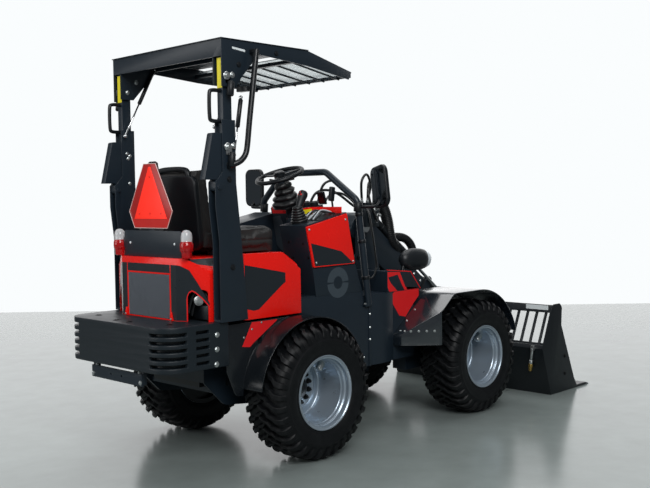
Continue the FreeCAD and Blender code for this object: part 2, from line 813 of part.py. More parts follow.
def seat():
    """Seat cushion, back and the raised arm rest on the driver's left."""
    cushion = [
        ("-395", "hood_top + gap", "20"),
        ("40", "hood_top + gap", "30"),
        ("40", "1300", "45"),
        ("-395", "1290", "20"),
    ]
    finish("seat_cushion", middle_block("2 * seat_half", cushion))
    back = [
        ("-480", "1180", "20"),
        ("-395 - gap", "1180", "10"),
        ("-395 - gap", "1300"),
        ("-440", "1632", "30"),
        ("-520", "1632", "30"),
    ]
    finish("seat_back", middle_block("2 * seat_half - 30", back))
    arm = body()
    profile = [("-430", "1285", "20"), ("-380", "1285", "20"), ("-430", "1690", "25"), ("-490", "1690", "25")]
    pad(arm, "XZ_Plane", "-seat_half - 50", "48", [profile])
    lug = box("-440", "seat_half - 15 + gap", "1310", "36", "22", "40")
    finish("arm_rest", join(arm, lug))


def lower_posts():
    """The fixed post channels, open at the back so that the upper posts can fold out, with hinge pins."""
    profile = [
        ("-585", "weight_top + gap"),
        ("-400", "weight_top + gap"),
        ("-436", "1240"),
        ("-466", "1540"),
        ("-466", "post_top"),
        ("-556", "post_top"),
        ("-556", "1600"),
        ("-606", "1545"),
        ("-606", "1420"),
        ("-585", "1240"),
    ]
    inner = side_plate("post_in", "sheet_wall", profile)
    outer = side_plate("post_out - sheet_wall", "sheet_wall", profile)
    front = side_plate("post_in", "post_out - post_in", [
        ("-400", "weight_top + gap"),
        ("-436", "1240"),
        ("-466", "1540"),
        ("-466", "post_top"),
        ("-472", "post_top"),
        ("-472", "1540"),
        ("-442", "1240"),
        ("-406", "weight_top + gap"),
    ])
    foot = box("-585", "-post_out", "weight_top + gap", "180", "post_out - post_in", "12")
    hinge = cross_rod("fold_x", "fold_z", "12", "-post_in + 8", "post_out - post_in + 16")
    finish("lower_posts", pair(join(inner, outer, front, foot, hinge)))


def tail_lights():
    """A rounded lamp on each end of the rear bracket."""
    lamp = turned("XZ_Plane", "Z_Axis", [
        ("0", "-76"),
        ("30", "-76", "8"),
        ("37", "-10", "10"),
        ("34", "40", "20"),
        ("22", "76", "16"),
        ("0", "76"),
    ])
    shifted = document.addObject("Part::Compound", fresh("Compound"))
    shifted.Links = [lamp]
    place(shifted, "-662", "-310", "1224")
    finish("tail_lights", pair(shifted))


def light_bracket():
    """The dark plate behind the seat that carries the lamps and the warning triangle."""
    owner = body()
    face = [("-262", "hood_top + gap"), ("262", "hood_top + gap"), ("262", "1292", "15"), ("-262", "1292", "15")]
    pad(owner, "YZ_Plane", "-662", "sheet_wall", [face])
    stem = [("-25", "1280"), ("25", "1280"), ("25", "1500"), ("-25", "1500")]
    pad(owner, "YZ_Plane", "-662", "sheet_wall", [stem])
    foot = [("-662", "-262"), ("-600", "-262"), ("-600", "262"), ("-662", "262")]
    pad(owner, "XY_Plane", "hood_top + gap", "sheet_wall", [foot])
    for low in ("-272.6", "252"):
        arm = [(low, "1195"), (f"{low} + 20.6", "1195"), (f"{low} + 20.6", "1250"), (low, "1250")]
        pad(owner, "YZ_Plane", "-662", "sheet_wall", [arm])
    finish("light_bracket", owner)


def warning_triangle():
    """The slow vehicle sign: a triangle with its corners cut, a raised field and a border."""
    border = [
        ("-199", "1398"),
        ("-151", "1306"),
        ("151", "1306"),
        ("199", "1398"),
        ("55", "1657"),
        ("-55", "1657"),
    ]
    field = [("-151", "1356"), ("151", "1356"), ("8", "1640"), ("-8", "1640")]
    owner = body()
    pad(owner, "YZ_Plane", "-662 - gap - 5", "5", [border])
    pad(owner, "YZ_Plane", "-662 - gap - 7", "3", [field])
    finish("warning_triangle", owner)


def steering_cylinder():
    """The fixed barrel of the steering cylinder, below the lower ear, and its rod."""
    tube = rod("dash_wall_x + gap", "-200", "344", "28", "258", NORTH, 90)
    bore = rod("dash_wall_x + 12", "-200", "344", "14 + fit", "300", NORTH, 90)
    finish("steering_barrel", cut(tube, bore))
    shaft = rod("pivot_x - 290", "-200", "344", "14", "280", NORTH, 90)
    eye = rod("pivot_x", "-200", "320", "26", "48")
    finish("steering_rod", join(shaft, eye))


# ---------------------------------------------------------------- folding canopy

def upper_posts():
    """The folding posts with the hinge lugs and spring cases at their backs."""
    half = "post_out - post_in - 2 * sheet_wall - 4"
    start = "post_in + sheet_wall + 2"
    owner = body()
    post = [
        ("mast_rear", "1500"),
        ("mast_front", "1500"),
        ("mast_front", "roof_top - 6"),
        ("mast_rear", "roof_top - 6"),
    ]
    pad(owner, "XZ_Plane", start, half, [post])
    lug = [
        ("fold_x - 20", "1499", "18"),
        ("mast_rear + 2", "1499"),
        ("mast_rear + 2", "1560"),
        ("fold_x - 20", "1560", "18"),
    ]
    pad(owner, "XZ_Plane", start, half, [lug])
    case = [("mast_rear + 2", "1559"), ("mast_rear + 2", "1800"), ("-612", "1800", "12"), ("-668", "1559")]
    pad(owner, "XZ_Plane", start, half, [case])
    pocket(owner, "XZ_Plane", "post_in", "80", [], [("fold_x", "fold_z", "12 + fit")])
    finish("upper_posts", pair(owner))


def canopy_frame():
    """The canopy: bent side plates, gussets, cross members and the bars under the clear panel."""
    profile = [
        ("roof_rear", "2040"),
        ("-470", "2040"),
        ("-300", "2228"),
        ("roof_front - 30", "2168"),
        ("roof_front", "2215"),
        ("roof_bend", "roof_top"),
        ("roof_rear", "roof_top"),
    ]
    sides = middle_block("1200", profile)
    strip = flat_plate("2000", "320", [
        ("roof_rear", "-post_out - 7"),
        ("roof_bend", "-post_out - 7"),
        ("roof_front", "-post_out + 80"),
        ("roof_front", "-post_out + 86"),
        ("roof_bend", "-post_out - 1"),
        ("roof_rear", "-post_out - 1"),
    ])
    gusset = side_plate("post_in - 8", "6", [
        ("roof_rear", "2050"),
        ("-470", "2050"),
        ("-300", "2230"),
        ("-300", "roof_top - 6"),
        ("roof_rear", "roof_top - 6"),
    ])
    pads = [
        box("mast_rear + 5", "-post_out - 1", z, "48", "9 - gap", "60") for z in ("2060", "2206")
    ]
    half = join(overlap(sides, strip), gusset, *pads)
    across = "2 * post_out + 4"
    beams = [
        box("roof_rear", "-post_out - 2", "2196", "6", across, "roof_top - 2196"),
        box("-306", "-post_out - 2", "2230", "8", across, "roof_top - 2236"),
        box("roof_bend - 30", "-post_out - 2", "2228", "30", across, "20"),
        box("roof_front - 24", "-post_out + 82", "2181", "20", "2 * (post_out - 82)", "21 - gap"),
    ]
    bars = []
    for index in range(6):
        side = index - 2.5
        bar = add("Part::Cylinder", Radius="6", Height="roof_front - roof_bend + 8")
        bar.Placement = Placement(Vector(), Rotation(UP, -1.7 * side) * Rotation(NORTH, 98))
        bar.setExpression("Placement.Base.x", bind("roof_bend - 15"))
        bar.setExpression("Placement.Base.y", bind(f"{side} * 140"))
        bar.setExpression("Placement.Base.z", "2244")
        bars.append(bar)
    finish("canopy_frame", join(half, mirrored(half), *beams, *bars))


def roof_plate():
    """The solid rear part of the roof."""
    plan = [
        ("roof_rear - 6", "-post_out - 12"),
        ("roof_bend", "-post_out - 12"),
        ("roof_bend", "post_out + 12"),
        ("roof_rear - 6", "post_out + 12"),
    ]
    finish("roof_plate", flat_plate("roof_top + gap", "5", plan))


def roof_window():
    """The clear front panel between the bent side plates."""
    owner = body()
    slope = [
        ("roof_bend + 2", "2266"),
        ("roof_front - 8", "2202"),
        ("roof_front - 8", "2207"),
        ("roof_bend + 2", "2271"),
    ]
    pad(owner, "XZ_Plane", "0", "1200", [slope], middle=True)
    tool = body()
    plan = [
        ("roof_bend + 2", "-post_out + 2"),
        ("roof_front - 6", "-post_out + 89"),
        ("roof_front - 6", "post_out - 89"),
        ("roof_bend + 2", "post_out - 2"),
    ]
    pad(tool, "XY_Plane", "2100", "300", [plan])
    finish("roof_window", overlap(owner, tool))


def lock_pin(z, seat_y):
    """A cross pin with a hanging grip, on the driver's right."""
    head = cross_rod("-512", z, "17", seat_y, "22")
    loop = rod("-512", f"{seat_y} - 12", f"{z} - 22", "8", "16")
    grip = rod("-512", f"{seat_y} - 12", f"{z} - 97", "12", "78")
    return join(head, loop, grip)


def canopy_fittings():
    """D handles, gas struts, the pull rail on the right and the canopy's pins; the fold's pins apart."""
    middle = "-(post_in + post_out) / 2"
    handle = bent_tube([("mast_rear - gap", middle, "2022"), ("-605", middle, "2022"),
                        ("-612", middle, "1860"), ("mast_rear - gap", middle, "1860")], 9, 24)
    inside = "-(post_in - 18)"
    strut = bent_tube([("-430", inside, "2118"), ("-466", inside, "2000"), ("-508", inside, "1895")], 7, 200)
    lugs = [
        box("-440", "-post_in + 8 + gap", "2108", "20", "16", "20"),
        box("-518", "-post_in - 8 + gap", "1885", "20", "32", "20"),
    ]
    outside = "-(post_out + 30)"
    rail = bent_tube([("-296", outside, "2236"), ("-338", outside, "1990"), ("-386", outside, "1745")], 15, 200)
    lug = box("-308", "-post_out - 30", "2224", "24", "23 - gap", "24")
    top_pin = lock_pin("2090", "-post_out - 7 - gap")
    finish("canopy_fittings", together(pair(handle), pair(join(strut, *lugs)), join(rail, lug), pair(top_pin)))
    finish("fold_pins", pair(lock_pin("1723", "-post_out - gap")))


# ---------------------------------------------------------------- front frame

def front_housing():
    """The round housing about the steering pivot, the box ahead of it with the lift cylinder's slot and
    pin, and the bracket below for the steering cylinder."""
    owner = body()
    high = "drum_top - drum_low"
    pad(owner, "XY_Plane", "drum_low", high, [], [("pivot_x", "0", "drum_rad")])
    nose = [
        ("pivot_x", "-nose_half"),
        ("nose_front", "-nose_half"),
        ("nose_front", "nose_half"),
        ("pivot_x", "nose_half"),
    ]
    pad(owner, "XY_Plane", "drum_low", high, [nose])
    beside = []
    for side in ("-", ""):
        beside.append([
            ("915 - gap", f"{side}nose_half"),
            ("nose_front - 24 - gap", f"{side}nose_half"),
            ("nose_front - 24 - gap", f"{side}(arch_in - gap)"),
            ("nose_front + 50", f"{side}(arch_in - gap)"),
            ("nose_front + 50", f"{side}(drum_rad + 20)"),
            ("915 - gap", f"{side}(drum_rad + 20)"),
        ])
    pocket(owner, "XY_Plane", "drum_low - 10", f"{high} + 20", beside)
    ahead = [
        ("nose_front", "-arch_in"),
        ("nose_front + 80", "-arch_in"),
        ("nose_front + 80", "arch_in"),
        ("nose_front", "arch_in"),
    ]
    pocket(owner, "XY_Plane", "drum_low - 10", f"{high} + 20", [ahead])
    slot = [
        ("lift_x - 62", "-slot_half"),
        ("nose_front + 50", "-slot_half"),
        ("nose_front + 50", "slot_half"),
        ("lift_x - 62", "slot_half"),
    ]
    pocket(owner, "XY_Plane", "drum_low - 10", f"{high} + 20", [slot])
    pocket(owner, "XY_Plane", "drum_top - 60", "70", [], [("pivot_x", "0", "pin_rad + fit")])
    pocket(owner, "XY_Plane", "drum_low - 10", "75", [], [("pivot_x", "0", "pin_rad + fit")])
    pin = cross_rod("lift_x", "lift_z", "lift_pin", "slot_half + 2", "2 * slot_half + 4")
    cheek = cross_rod("lift_x", "lift_z", "30", "-36", "slot_half - 34")
    ear = flat_plate("296", "10", [
        ("pivot_x - 40", "-245", "25"),
        ("pivot_x + 60", "-245", "25"),
        ("pivot_x + 140", "-190"),
        ("pivot_x + 140", "-110"),
        ("pivot_x - 40", "-150", "25"),
    ])
    web = box("pivot_x + 90", "-185", "296", "50", "50", "drum_low - 295")
    finish("front_housing", join(owner, pin, cheek, mirrored(cheek), ear, web))


def front_chassis():
    """The box between the front wheels that the axle passes through, and the steering rod's bracket."""
    profile = [
        ("nose_front + gap", "300"),
        ("1660", "300", "40"),
        ("1740", "400", "40"),
        ("1740", "500"),
        ("nose_front + gap", "500"),
    ]
    rail = side_plate("190", "frame_half - 190", profile,
                      [("wheel_base", "wheel_rad", "axle_rad + gap")])
    front = box("1660", "-200", "410", "60", "400", "90")
    rear = box("nose_front + gap", "-200", "410", "60", "400", "60")
    finish("front_chassis", join(rail, mirrored(rail), front, rear))


def front_cowl():
    """The cover on each side of the boom tower."""
    profile = [
        ("866", "drum_top"),
        ("866", "990", "12"),
        ("1100", "966", "16"),
        ("1200", "drum_top"),
    ]
    finish("front_cowl", pair(side_plate("125", "nose_half - 125", profile)))


def boom_tower():
    """The two plates that hold the boom pivot's pin."""
    plate = side_plate("tower_in", "16", [
        ("870", "drum_top"),
        ("900", "1330", "60"),
        ("1020", "1330", "60"),
        ("nose_front", "drum_top"),
    ])
    pin = cross_rod("boom_x", "boom_z", "boom_pin", "tower_in + 24", "2 * (tower_in + 24)")
    finish("boom_tower", join(plate, mirrored(plate), pin))


def front_fenders():
    """Sheet fenders: a round top over the wheel that runs into an upright rear face."""
    rim_z = "wheel_rad + arch_rad + sheet_wall"
    rim_x = "wheel_base + arch_rad + sheet_wall"
    outer_side = body()
    pad(outer_side, "XZ_Plane", "arch_in", "arch_out - arch_in", [[
        ("915", "wheel_rad - 40"),
        ("915", "575", "50"),
        ("1240", rim_z, "90"),
        (rim_x, rim_z, "arch_rad + sheet_wall"),
        (rim_x, "wheel_rad - 40"),
    ]])
    outer_plan = body()
    pad(outer_plan, "XY_Plane", "wheel_rad - 40", "600", [[
        ("nose_front - 24", "-arch_in"),
        ("nose_front - 24", "-nose_half - gap"),
        ("915", "-nose_half - gap"),
        ("915", "-455", "30"),
        ("1105", "-arch_out", "60"),
        (rim_x, "-arch_out"),
        (rim_x, "-arch_in"),
    ]])
    inner_side = body()
    pad(inner_side, "XZ_Plane", "arch_in + sheet_wall", "arch_out", [[
        ("915 + sheet_wall", "wheel_rad - 50"),
        ("915 + sheet_wall", "575 - sheet_wall / 2", "46"),
        ("1240 + sheet_wall / 3", f"{rim_z} - sheet_wall", "90"),
        (f"{rim_x} - sheet_wall", f"{rim_z} - sheet_wall", "arch_rad"),
        (f"{rim_x} - sheet_wall", "wheel_rad - 50"),
    ]])
    inner_plan = body()
    pad(inner_plan, "XY_Plane", "wheel_rad - 60", "700", [[
        ("nose_front - 24 + sheet_wall", "-arch_in + 10"),
        ("nose_front - 24 + sheet_wall", "-nose_half - gap - sheet_wall"),
        ("915 + sheet_wall", "-nose_half - gap - sheet_wall"),
        ("915 + sheet_wall", "-455 + 3", "24"),
        ("1109", "-arch_out + 3"),
        ("1109", "-arch_out - 40"),
        (f"{rim_x} + 10", "-arch_out - 40"),
        (f"{rim_x} + 10", "-arch_in + 10"),
    ]])
    below = box("900", "-arch_out - 10", "wheel_rad - 60", "1200", "400", "185")
    shell = cut(cut(overlap(outer_side, outer_plan), overlap(inner_side, inner_plan)), below)
    finish("front_fenders", pair(shell))


def head_lights():
    """The domed work lights on their brackets."""
    lamp = turned("XZ_Plane", "X_Axis", [
        ("-150", "0"),
        ("-150", "34", "26"),
        ("-70", "56", "40"),
        ("80", "52", "30"),
        ("160", "30", "18"),
        ("160", "0"),
    ])
    shifted = document.addObject("Part::Compound", fresh("Compound"))
    shifted.Links = [lamp]
    place(shifted, "1228", "-330", "1062")
    stem = rod("1092", "-330", "967.9", "12", "84")
    finish("head_lights", pair(join(shifted, stem)))


# ---------------------------------------------------------------- boom, drawn along its own axis

def boom_part(label, thing):
    """Finishes a piece drawn with its x along the boom and its origin at the boom pivot."""
    finish(label, thing, "boom_x", "0", "boom_z", NORTH, "boom_slope")


def outer_boom():
    """The outer box beam, open at its front end, with side bosses, slide pads and the lift ears."""
    owner = body()
    pad(owner, "XZ_Plane", "0", "2 * boom_half", [[
        ("-80", "-boom_deep", "60"),
        ("outer_len", "-boom_deep"),
        ("outer_len", "boom_deep"),
        ("-80", "boom_deep", "60"),
    ]], middle=True)
    pad(owner, "XZ_Plane", "0", "2 * (tower_in - 6)", [], [("0", "0", "48")], middle=True)
    pocket(owner, "XZ_Plane", "0", "2 * boom_half - 16", [[
        ("55", "-boom_deep + 8"),
        ("outer_len + 10", "-boom_deep + 8"),
        ("outer_len + 10", "boom_deep - 8"),
        ("55", "boom_deep - 8"),
    ]], middle=True)
    pocket(owner, "XZ_Plane", "0", "400", [], [("0", "0", "boom_pin + fit")], middle=True)
    ear = side_plate("42", "12", [
        ("lift_s - 60", "-boom_deep + 1"),
        ("lift_s + 60", "-boom_deep + 1"),
        ("lift_s + 26", "lift_n - 28", "20"),
        ("lift_s - 26", "lift_n - 28", "20"),
    ])
    top = box("outer_len - 60", "-50", "inner_deep + gap", "55", "100", "boom_deep - 4 - inner_deep - gap")
    bottom = box("outer_len - 60", "-50", "-boom_deep + 4", "55", "100", "boom_deep - 4 - inner_deep - gap")
    flank = box("outer_len - 60", "-boom_half + 4", "-60", "55", "boom_half - 4 - inner_half - gap", "120")
    boom_part("outer_boom", join(owner, ear, mirrored(ear), top, bottom, flank, mirrored(flank)))


def inner_boom():
    """The sliding box beam with its pads, the tilt cylinder's ears and the bracket of the slide rods."""
    owner = body()
    pad(owner, "XZ_Plane", "0", "2 * inner_half", [[
        ("100", "-inner_deep"),
        ("boom_len - 170", "-inner_deep"),
        ("boom_len + 38", "-38", "36"),
        ("boom_len + 38", "38", "36"),
        ("boom_len - 170", "inner_deep"),
        ("100", "inner_deep"),
    ]], middle=True)
    pocket(owner, "XZ_Plane", "0", "200", [], [("boom_len", "0", "tip_pin + fit")], middle=True)
    base = "boom_len - tilt_back"
    ear = side_plate("32", "10", [
        (f"{base} - 45", "inner_deep - 1"),
        (f"{base} + 45", "inner_deep - 1"),
        (f"{base} + 20", "tilt_up + 24", "16"),
        (f"{base} - 20", "tilt_up + 24", "16"),
    ])
    pin = cross_rod(base, "tilt_up", "tilt_pin", "41", "82")
    stop = box("boom_len - 410", "-inner_half - 20", "inner_deep - 1", "16", "2 * inner_half + 40", "13")
    post = box("boom_len - 410", "-inner_half - 20", "inner_deep - 1", "16", "40", "90")
    lift = "boom_deep - 8 - inner_deep - gap + 2"
    top = box("102", "-40", "inner_deep - 2", "55", "80", lift)
    bottom = box("102", "-40", "-boom_deep + 8 + gap", "55", "80", lift)
    flank = box("102", "-boom_half + 8 + gap", "-50", "55", "boom_half - 6 - inner_half - gap", "100")
    boom_part("inner_boom", join(owner, ear, mirrored(ear), pin, stop, post, mirrored(post),
                                 top, bottom, flank, mirrored(flank)))


def slide_cylinders():
    """The twin cylinders that push the inner boom out: barrels on the outer boom, rods on the inner."""
    barrel = rod("60", "-60", "boom_deep + 36", "26", "520", NORTH, 90)
    bore = rod("75", "-60", "boom_deep + 36", "12 + fit", "600", NORTH, 90)
    seats = [
        box("90", "-84", "boom_deep", "30", "48", "16"),
        box("500", "-84", "boom_deep", "30", "48", "16"),
    ]
    boom_part("slide_barrels", pair(cut(join(barrel, *seats), bore)))
    shaft = rod("90", "-60", "boom_deep + 36", "12", "boom_len - 410 - 90", NORTH, 90)
    boom_part("slide_rods", pair(shaft))


def hose_guard():
    """The arched hose guard on top of the outer boom."""
    points = [("300", "0", "boom_deep + gap"), ("300", "0", "290"), ("560", "0", "290"),
              ("560", "0", "boom_deep + gap")]
    boom_part("hose_guard", bent_tube(points, 24, 110))


def ram(prefix, base_x, base_z, eye_x, eye_z, pin, tube_rad, shaft_rad, eye_rad, barrel_len, inset):
    """A cylinder drawn along x from its base pin to its rod's eye: the barrel, and the rod from inset on."""
    run = f"(({eye_x}) - ({base_x}))"
    rise = f"(({eye_z}) - ({base_z}))"
    angle = f"-atan2({rise}; {run})"
    reach = f"hypot({run}; {rise})"
    boss = cross_rod("0", "0", eye_rad, eye_rad, f"2 * ({eye_rad})")
    tube = rod(eye_rad, "0", "0", tube_rad, f"{barrel_len} - {eye_rad}", NORTH, 90)
    neck = rod("0", "0", "0", f"{eye_rad} - 4", f"{eye_rad} + 4", NORTH, 90)
    bore = rod(f"{eye_rad} + 8", "0", "0", f"{shaft_rad} + fit", barrel_len, NORTH, 90)
    hole = cross_rod("0", "0", f"{pin} + fit", "100", "200")
    finish(f"{prefix}_barrel", cut(cut(join(boss, neck, tube), bore), hole), base_x, "0", base_z, NORTH, angle)
    shaft = rod(inset, "0", "0", shaft_rad, f"{reach} - {inset}", NORTH, 90)
    eye = cross_rod(reach, "0", eye_rad, eye_rad, f"2 * ({eye_rad})")
    finish(f"{prefix}_rod", join(shaft, eye), base_x, "0", base_z, NORTH, angle)


def cylinders():
    """The lift cylinder under the boom and the tilt cylinder on the inner boom."""
    ram("lift", "lift_x", "lift_z",
        "boom_x + lift_s * cos(boom_slope) + lift_n * sin(boom_slope)",
        "boom_z - lift_s * sin(boom_slope) + lift_n * cos(boom_slope)",
        "lift_pin", "34", "18", "28", "460", "42")
    ram("tilt",
        "boom_x + (boom_len - tilt_back) * cos(boom_slope) + tilt_up * sin(boom_slope)",
        "boom_z - (boom_len - tilt_back) * sin(boom_slope) + tilt_up * cos(boom_slope)",
        "boom_x + boom_len * cos(boom_slope) + tilt_arm * cos(tilt_angle)",
        "boom_z - boom_len * sin(boom_slope) + tilt_arm * sin(tilt_angle)",
        "tilt_pin", "26", "14", "20", "310", "66")


# ---------------------------------------------------------------- attachment

def quick_hitch():
    """The attachment plate: cheeks on the boom tip, the lever of the tilt cylinder and the flat carrier."""
    tip_x = "(boom_x + boom_len * cos(boom_slope))"
    tip_z = "(boom_z - boom_len * sin(boom_slope))"
    back = "bucket_back - 31"
    cheek = side_plate("inner_half + 6", "14", [
        (f"{tip_x} - 34", f"{tip_z} - 34", "30"),
        (f"{back} + 2", "215"),
        (f"{back} + 2", "545"),
        (f"{tip_x} + 50", f"{tip_z} + 110", "24"),
        (f"{tip_x} - 20", f"{tip_z} + 50", "24"),
    ])
    plate = box(back, "-320", "200", "12", "640", "350")
    notch = box(f"{back} - 5", "-25.5", f"{tip_z} + 60", "25", "51", "150")
    carrier = cut(plate, notch)
    pin = cross_rod(tip_x, tip_z, "tip_pin", "inner_half + 28", "2 * (inner_half + 28)")
    block = box(f"{tip_x} + 46", "-inner_half - 8", f"{tip_z} + 4", "30", "2 * inner_half + 16", "36")
    lever = side_plate("27", "12", [
        (f"{tip_x} + 45", f"{tip_z} + 5"),
        (f"{tip_x} + 80", f"{tip_z} + 5"),
        (f"{tip_x} + 62", f"{tip_z} + 110", "18"),
        (f"{tip_x} + 22", f"{tip_z} + 114", "18"),
        (f"{tip_x} + 24", f"{tip_z} + 70", "18"),
    ])
    finish("quick_hitch", join(cheek, mirrored(cheek), carrier, pin, block, lever, mirrored(lever)))


def bucket():
    """The bucket: bent back sheet, floor with its cutting edge, and side plates."""
    side = side_plate("bucket_half - bucket_wall", "bucket_wall", [
        ("bucket_foot", "4"),
        ("bucket_lip - 180", "4"),
        ("2634", "82"),
        ("2450", "500"),
        ("2459", "630", "14"),
        ("2430", "660", "14"),
        ("2350", "660", "14"),
        ("2318", "645"),
        ("bucket_back", "350"),
    ])
    sheet_line = [
        ("bucket_foot", "0"),
        ("bucket_lip - 40", "0"),
        ("bucket_lip", "2"),
        ("bucket_lip - 50", "18"),
        ("2660", "18"),
        ("2640", "10"),
        ("bucket_foot + 6", "10"),
        ("bucket_back + 9", "350"),
        ("bucket_back + 22", "372"),
        ("bucket_back + 12", "376"),
        ("bucket_back", "350"),
    ]
    back = middle_block("2 * bucket_half - 2", sheet_line)
    hook = side_plate("165", "40", [
        ("bucket_back - 19 + gap", "215"),
        ("2234", "215"),
        ("bucket_back + 4", "350"),
        ("bucket_back + 8", "366"),
        ("2258", "545"),
        ("bucket_back - 19 + gap", "545"),
    ])
    finish("bucket", join(side, mirrored(side), back, hook, mirrored(hook)))


def bucket_grate():
    """The open upper back: a top rail and the row of bars below it."""
    owner = body()
    width = "2 * (bucket_half - bucket_wall) - 2 * gap"
    pad(owner, "XZ_Plane", "0", width, [[
        ("2300", "602"),
        ("2320", "598"),
        ("2348", "652"),
        ("2326", "656"),
    ]], middle=True)
    pad(owner, "XZ_Plane", "0", width, [[
        ("bucket_back + 13", "378"),
        ("bucket_back + 24", "374"),
        ("bucket_back + 30", "388"),
        ("bucket_back + 19", "392"),
    ]], middle=True)
    bar = [("bucket_back + 16", "382"), ("bucket_back + 27", "378"), ("2322", "610"), ("2311", "614")]
    first = pad(owner, "XZ_Plane", "-9 * bar_pitch - bar_rad", "2 * bar_rad", [bar])
    pattern = repeat(owner, first, "Y_Axis", "18 * bar_pitch", 19)
    pattern.Reversed = True
    finish("bucket_grate", owner)


def build():
    """Every sub-part, from the ground up."""
    corners = {"left": ("track_half", "0"), "right": ("-track_half", "180")}
    for row, x in (("rear", "0"), ("front", "wheel_base")):
        for side, (y, turn) in corners.items():
            rim(f"rim_{row}_{side}", x, y, turn)
            tyre(f"tyre_{row}_{side}", x, y, turn)
        axle(f"{row}_axle", x)
    for make in (
        rear_chassis, engine_block, counterweight, tow_plate, engine_hood, radiator_grille, side_panels,
        rear_fenders, side_plates, floor_plate, console, steering_wheel, control_levers, guard_hoop,
        mirrors, seat, lower_posts, light_bracket, tail_lights, warning_triangle, steering_cylinder,
        upper_posts, canopy_frame, roof_plate, roof_window, canopy_fittings, front_housing, front_chassis,
        front_cowl, boom_tower, front_fenders, head_lights, outer_boom, inner_boom, slide_cylinders,
        hose_guard, cylinders, quick_hitch, bucket, bucket_grate,
    ):
        make()


def write():
    """Checks every object and writes one STEP file for each sub-part."""
    document.recompute()
    for thing in document.Objects:
        if "Invalid" in thing.State or "Error" in thing.State:
            raise RuntimeError(f"{thing.Name} {thing.Label}: {thing.State}")
    os.makedirs("parts", exist_ok=True)
    for thing in parts:
        if thing.Shape.isNull() or not thing.Shape.isValid():
            raise RuntimeError(f"{thing.Label} has no valid shape")
        thing.Shape.exportStep(f"parts/{thing.Label}.step")
    print(len(parts), "sub-parts")


build()
write()
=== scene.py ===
"""Looks of a mini wheel loader: articulated, canopy over the driver, telescopic boom and a grated bucket.

Metres. X runs forward, Y to the driver's left, Z up. Sub-assemblies are drawn with x = 0 at the rear axle and
Workshop.piece moves them to the frame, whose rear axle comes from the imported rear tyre.
"""

import json
import logging
import math
from dataclasses import dataclass, field
from enum import Enum
from typing import Callable, Iterable, Optional, Sequence

import bmesh
import bpy
from mathutils import Matrix, Quaternion, Vector
from mathutils.bvhtree import BVHTree

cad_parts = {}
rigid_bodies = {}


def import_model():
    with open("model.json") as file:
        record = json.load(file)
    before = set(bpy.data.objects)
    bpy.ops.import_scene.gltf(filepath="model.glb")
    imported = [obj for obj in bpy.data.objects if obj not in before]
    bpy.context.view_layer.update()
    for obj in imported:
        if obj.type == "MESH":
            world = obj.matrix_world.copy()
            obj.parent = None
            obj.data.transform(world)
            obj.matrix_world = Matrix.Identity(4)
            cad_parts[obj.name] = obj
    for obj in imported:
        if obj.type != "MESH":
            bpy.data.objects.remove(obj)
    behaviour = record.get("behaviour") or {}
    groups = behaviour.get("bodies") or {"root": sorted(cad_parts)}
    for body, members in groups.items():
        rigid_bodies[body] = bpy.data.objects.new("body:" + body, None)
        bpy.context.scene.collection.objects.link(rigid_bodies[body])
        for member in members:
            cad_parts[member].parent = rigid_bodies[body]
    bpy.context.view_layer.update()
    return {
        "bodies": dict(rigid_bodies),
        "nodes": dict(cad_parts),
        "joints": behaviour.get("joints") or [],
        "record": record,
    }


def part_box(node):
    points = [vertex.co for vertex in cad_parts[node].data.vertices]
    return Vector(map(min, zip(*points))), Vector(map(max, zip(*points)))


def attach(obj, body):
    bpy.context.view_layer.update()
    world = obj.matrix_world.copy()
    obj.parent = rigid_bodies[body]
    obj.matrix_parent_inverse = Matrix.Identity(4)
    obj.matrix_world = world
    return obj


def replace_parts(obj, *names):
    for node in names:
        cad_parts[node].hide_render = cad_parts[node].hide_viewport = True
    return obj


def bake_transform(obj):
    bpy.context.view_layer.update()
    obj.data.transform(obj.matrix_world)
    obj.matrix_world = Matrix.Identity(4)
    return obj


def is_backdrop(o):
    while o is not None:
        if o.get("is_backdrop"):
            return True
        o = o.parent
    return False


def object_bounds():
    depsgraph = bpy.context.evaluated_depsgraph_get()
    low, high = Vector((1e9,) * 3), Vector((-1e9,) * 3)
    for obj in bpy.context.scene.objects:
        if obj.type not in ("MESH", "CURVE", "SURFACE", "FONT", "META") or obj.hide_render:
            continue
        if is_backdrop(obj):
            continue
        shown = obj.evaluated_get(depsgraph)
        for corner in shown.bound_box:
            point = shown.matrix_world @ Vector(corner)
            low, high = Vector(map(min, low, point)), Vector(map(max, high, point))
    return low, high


LOG = logging.getLogger("loader")
Point = Sequence[float]
Socket = bpy.types.NodeSocket
MM = 0.001
SIDES = (-1, 1)
HANDS = (("left", 1), ("right", -1))
REAR, FRONT, CANOPY, BOOM, TOOL = "rear_frame", "front_frame", "canopy", "boom", "attachment"
FILM_GAP = 0.00005
# The Mix node's colour sockets: two in and one out.
COLOUR_A, COLOUR_B, COLOUR_OUT = 6, 7, 2


# ---------------------------------------------------------------- finishes

def linear(code: str) -> tuple[float, float, float, float]:
    """Turns an sRGB hex code into linear RGBA.

    Args:
        code: a colour such as "#20272d".

    Returns:
        The linear colour with an alpha of one.
    """
    parts = [int(code[i:i + 2], 16) / 255 for i in (1, 3, 5)]
    red, green, blue = (c / 12.92 if c <= 0.04045 else ((c + 0.055) / 1.055) ** 2.4 for c in parts)
    return red, green, blue, 1.0


def shade(code: str, factor: float) -> tuple[float, float, float, float]:
    """The linear colour of a hex code, made lighter or darker by factor."""
    red, green, blue, alpha = linear(code)
    return min(red * factor, 1.0), min(green * factor, 1.0), min(blue * factor, 1.0), alpha


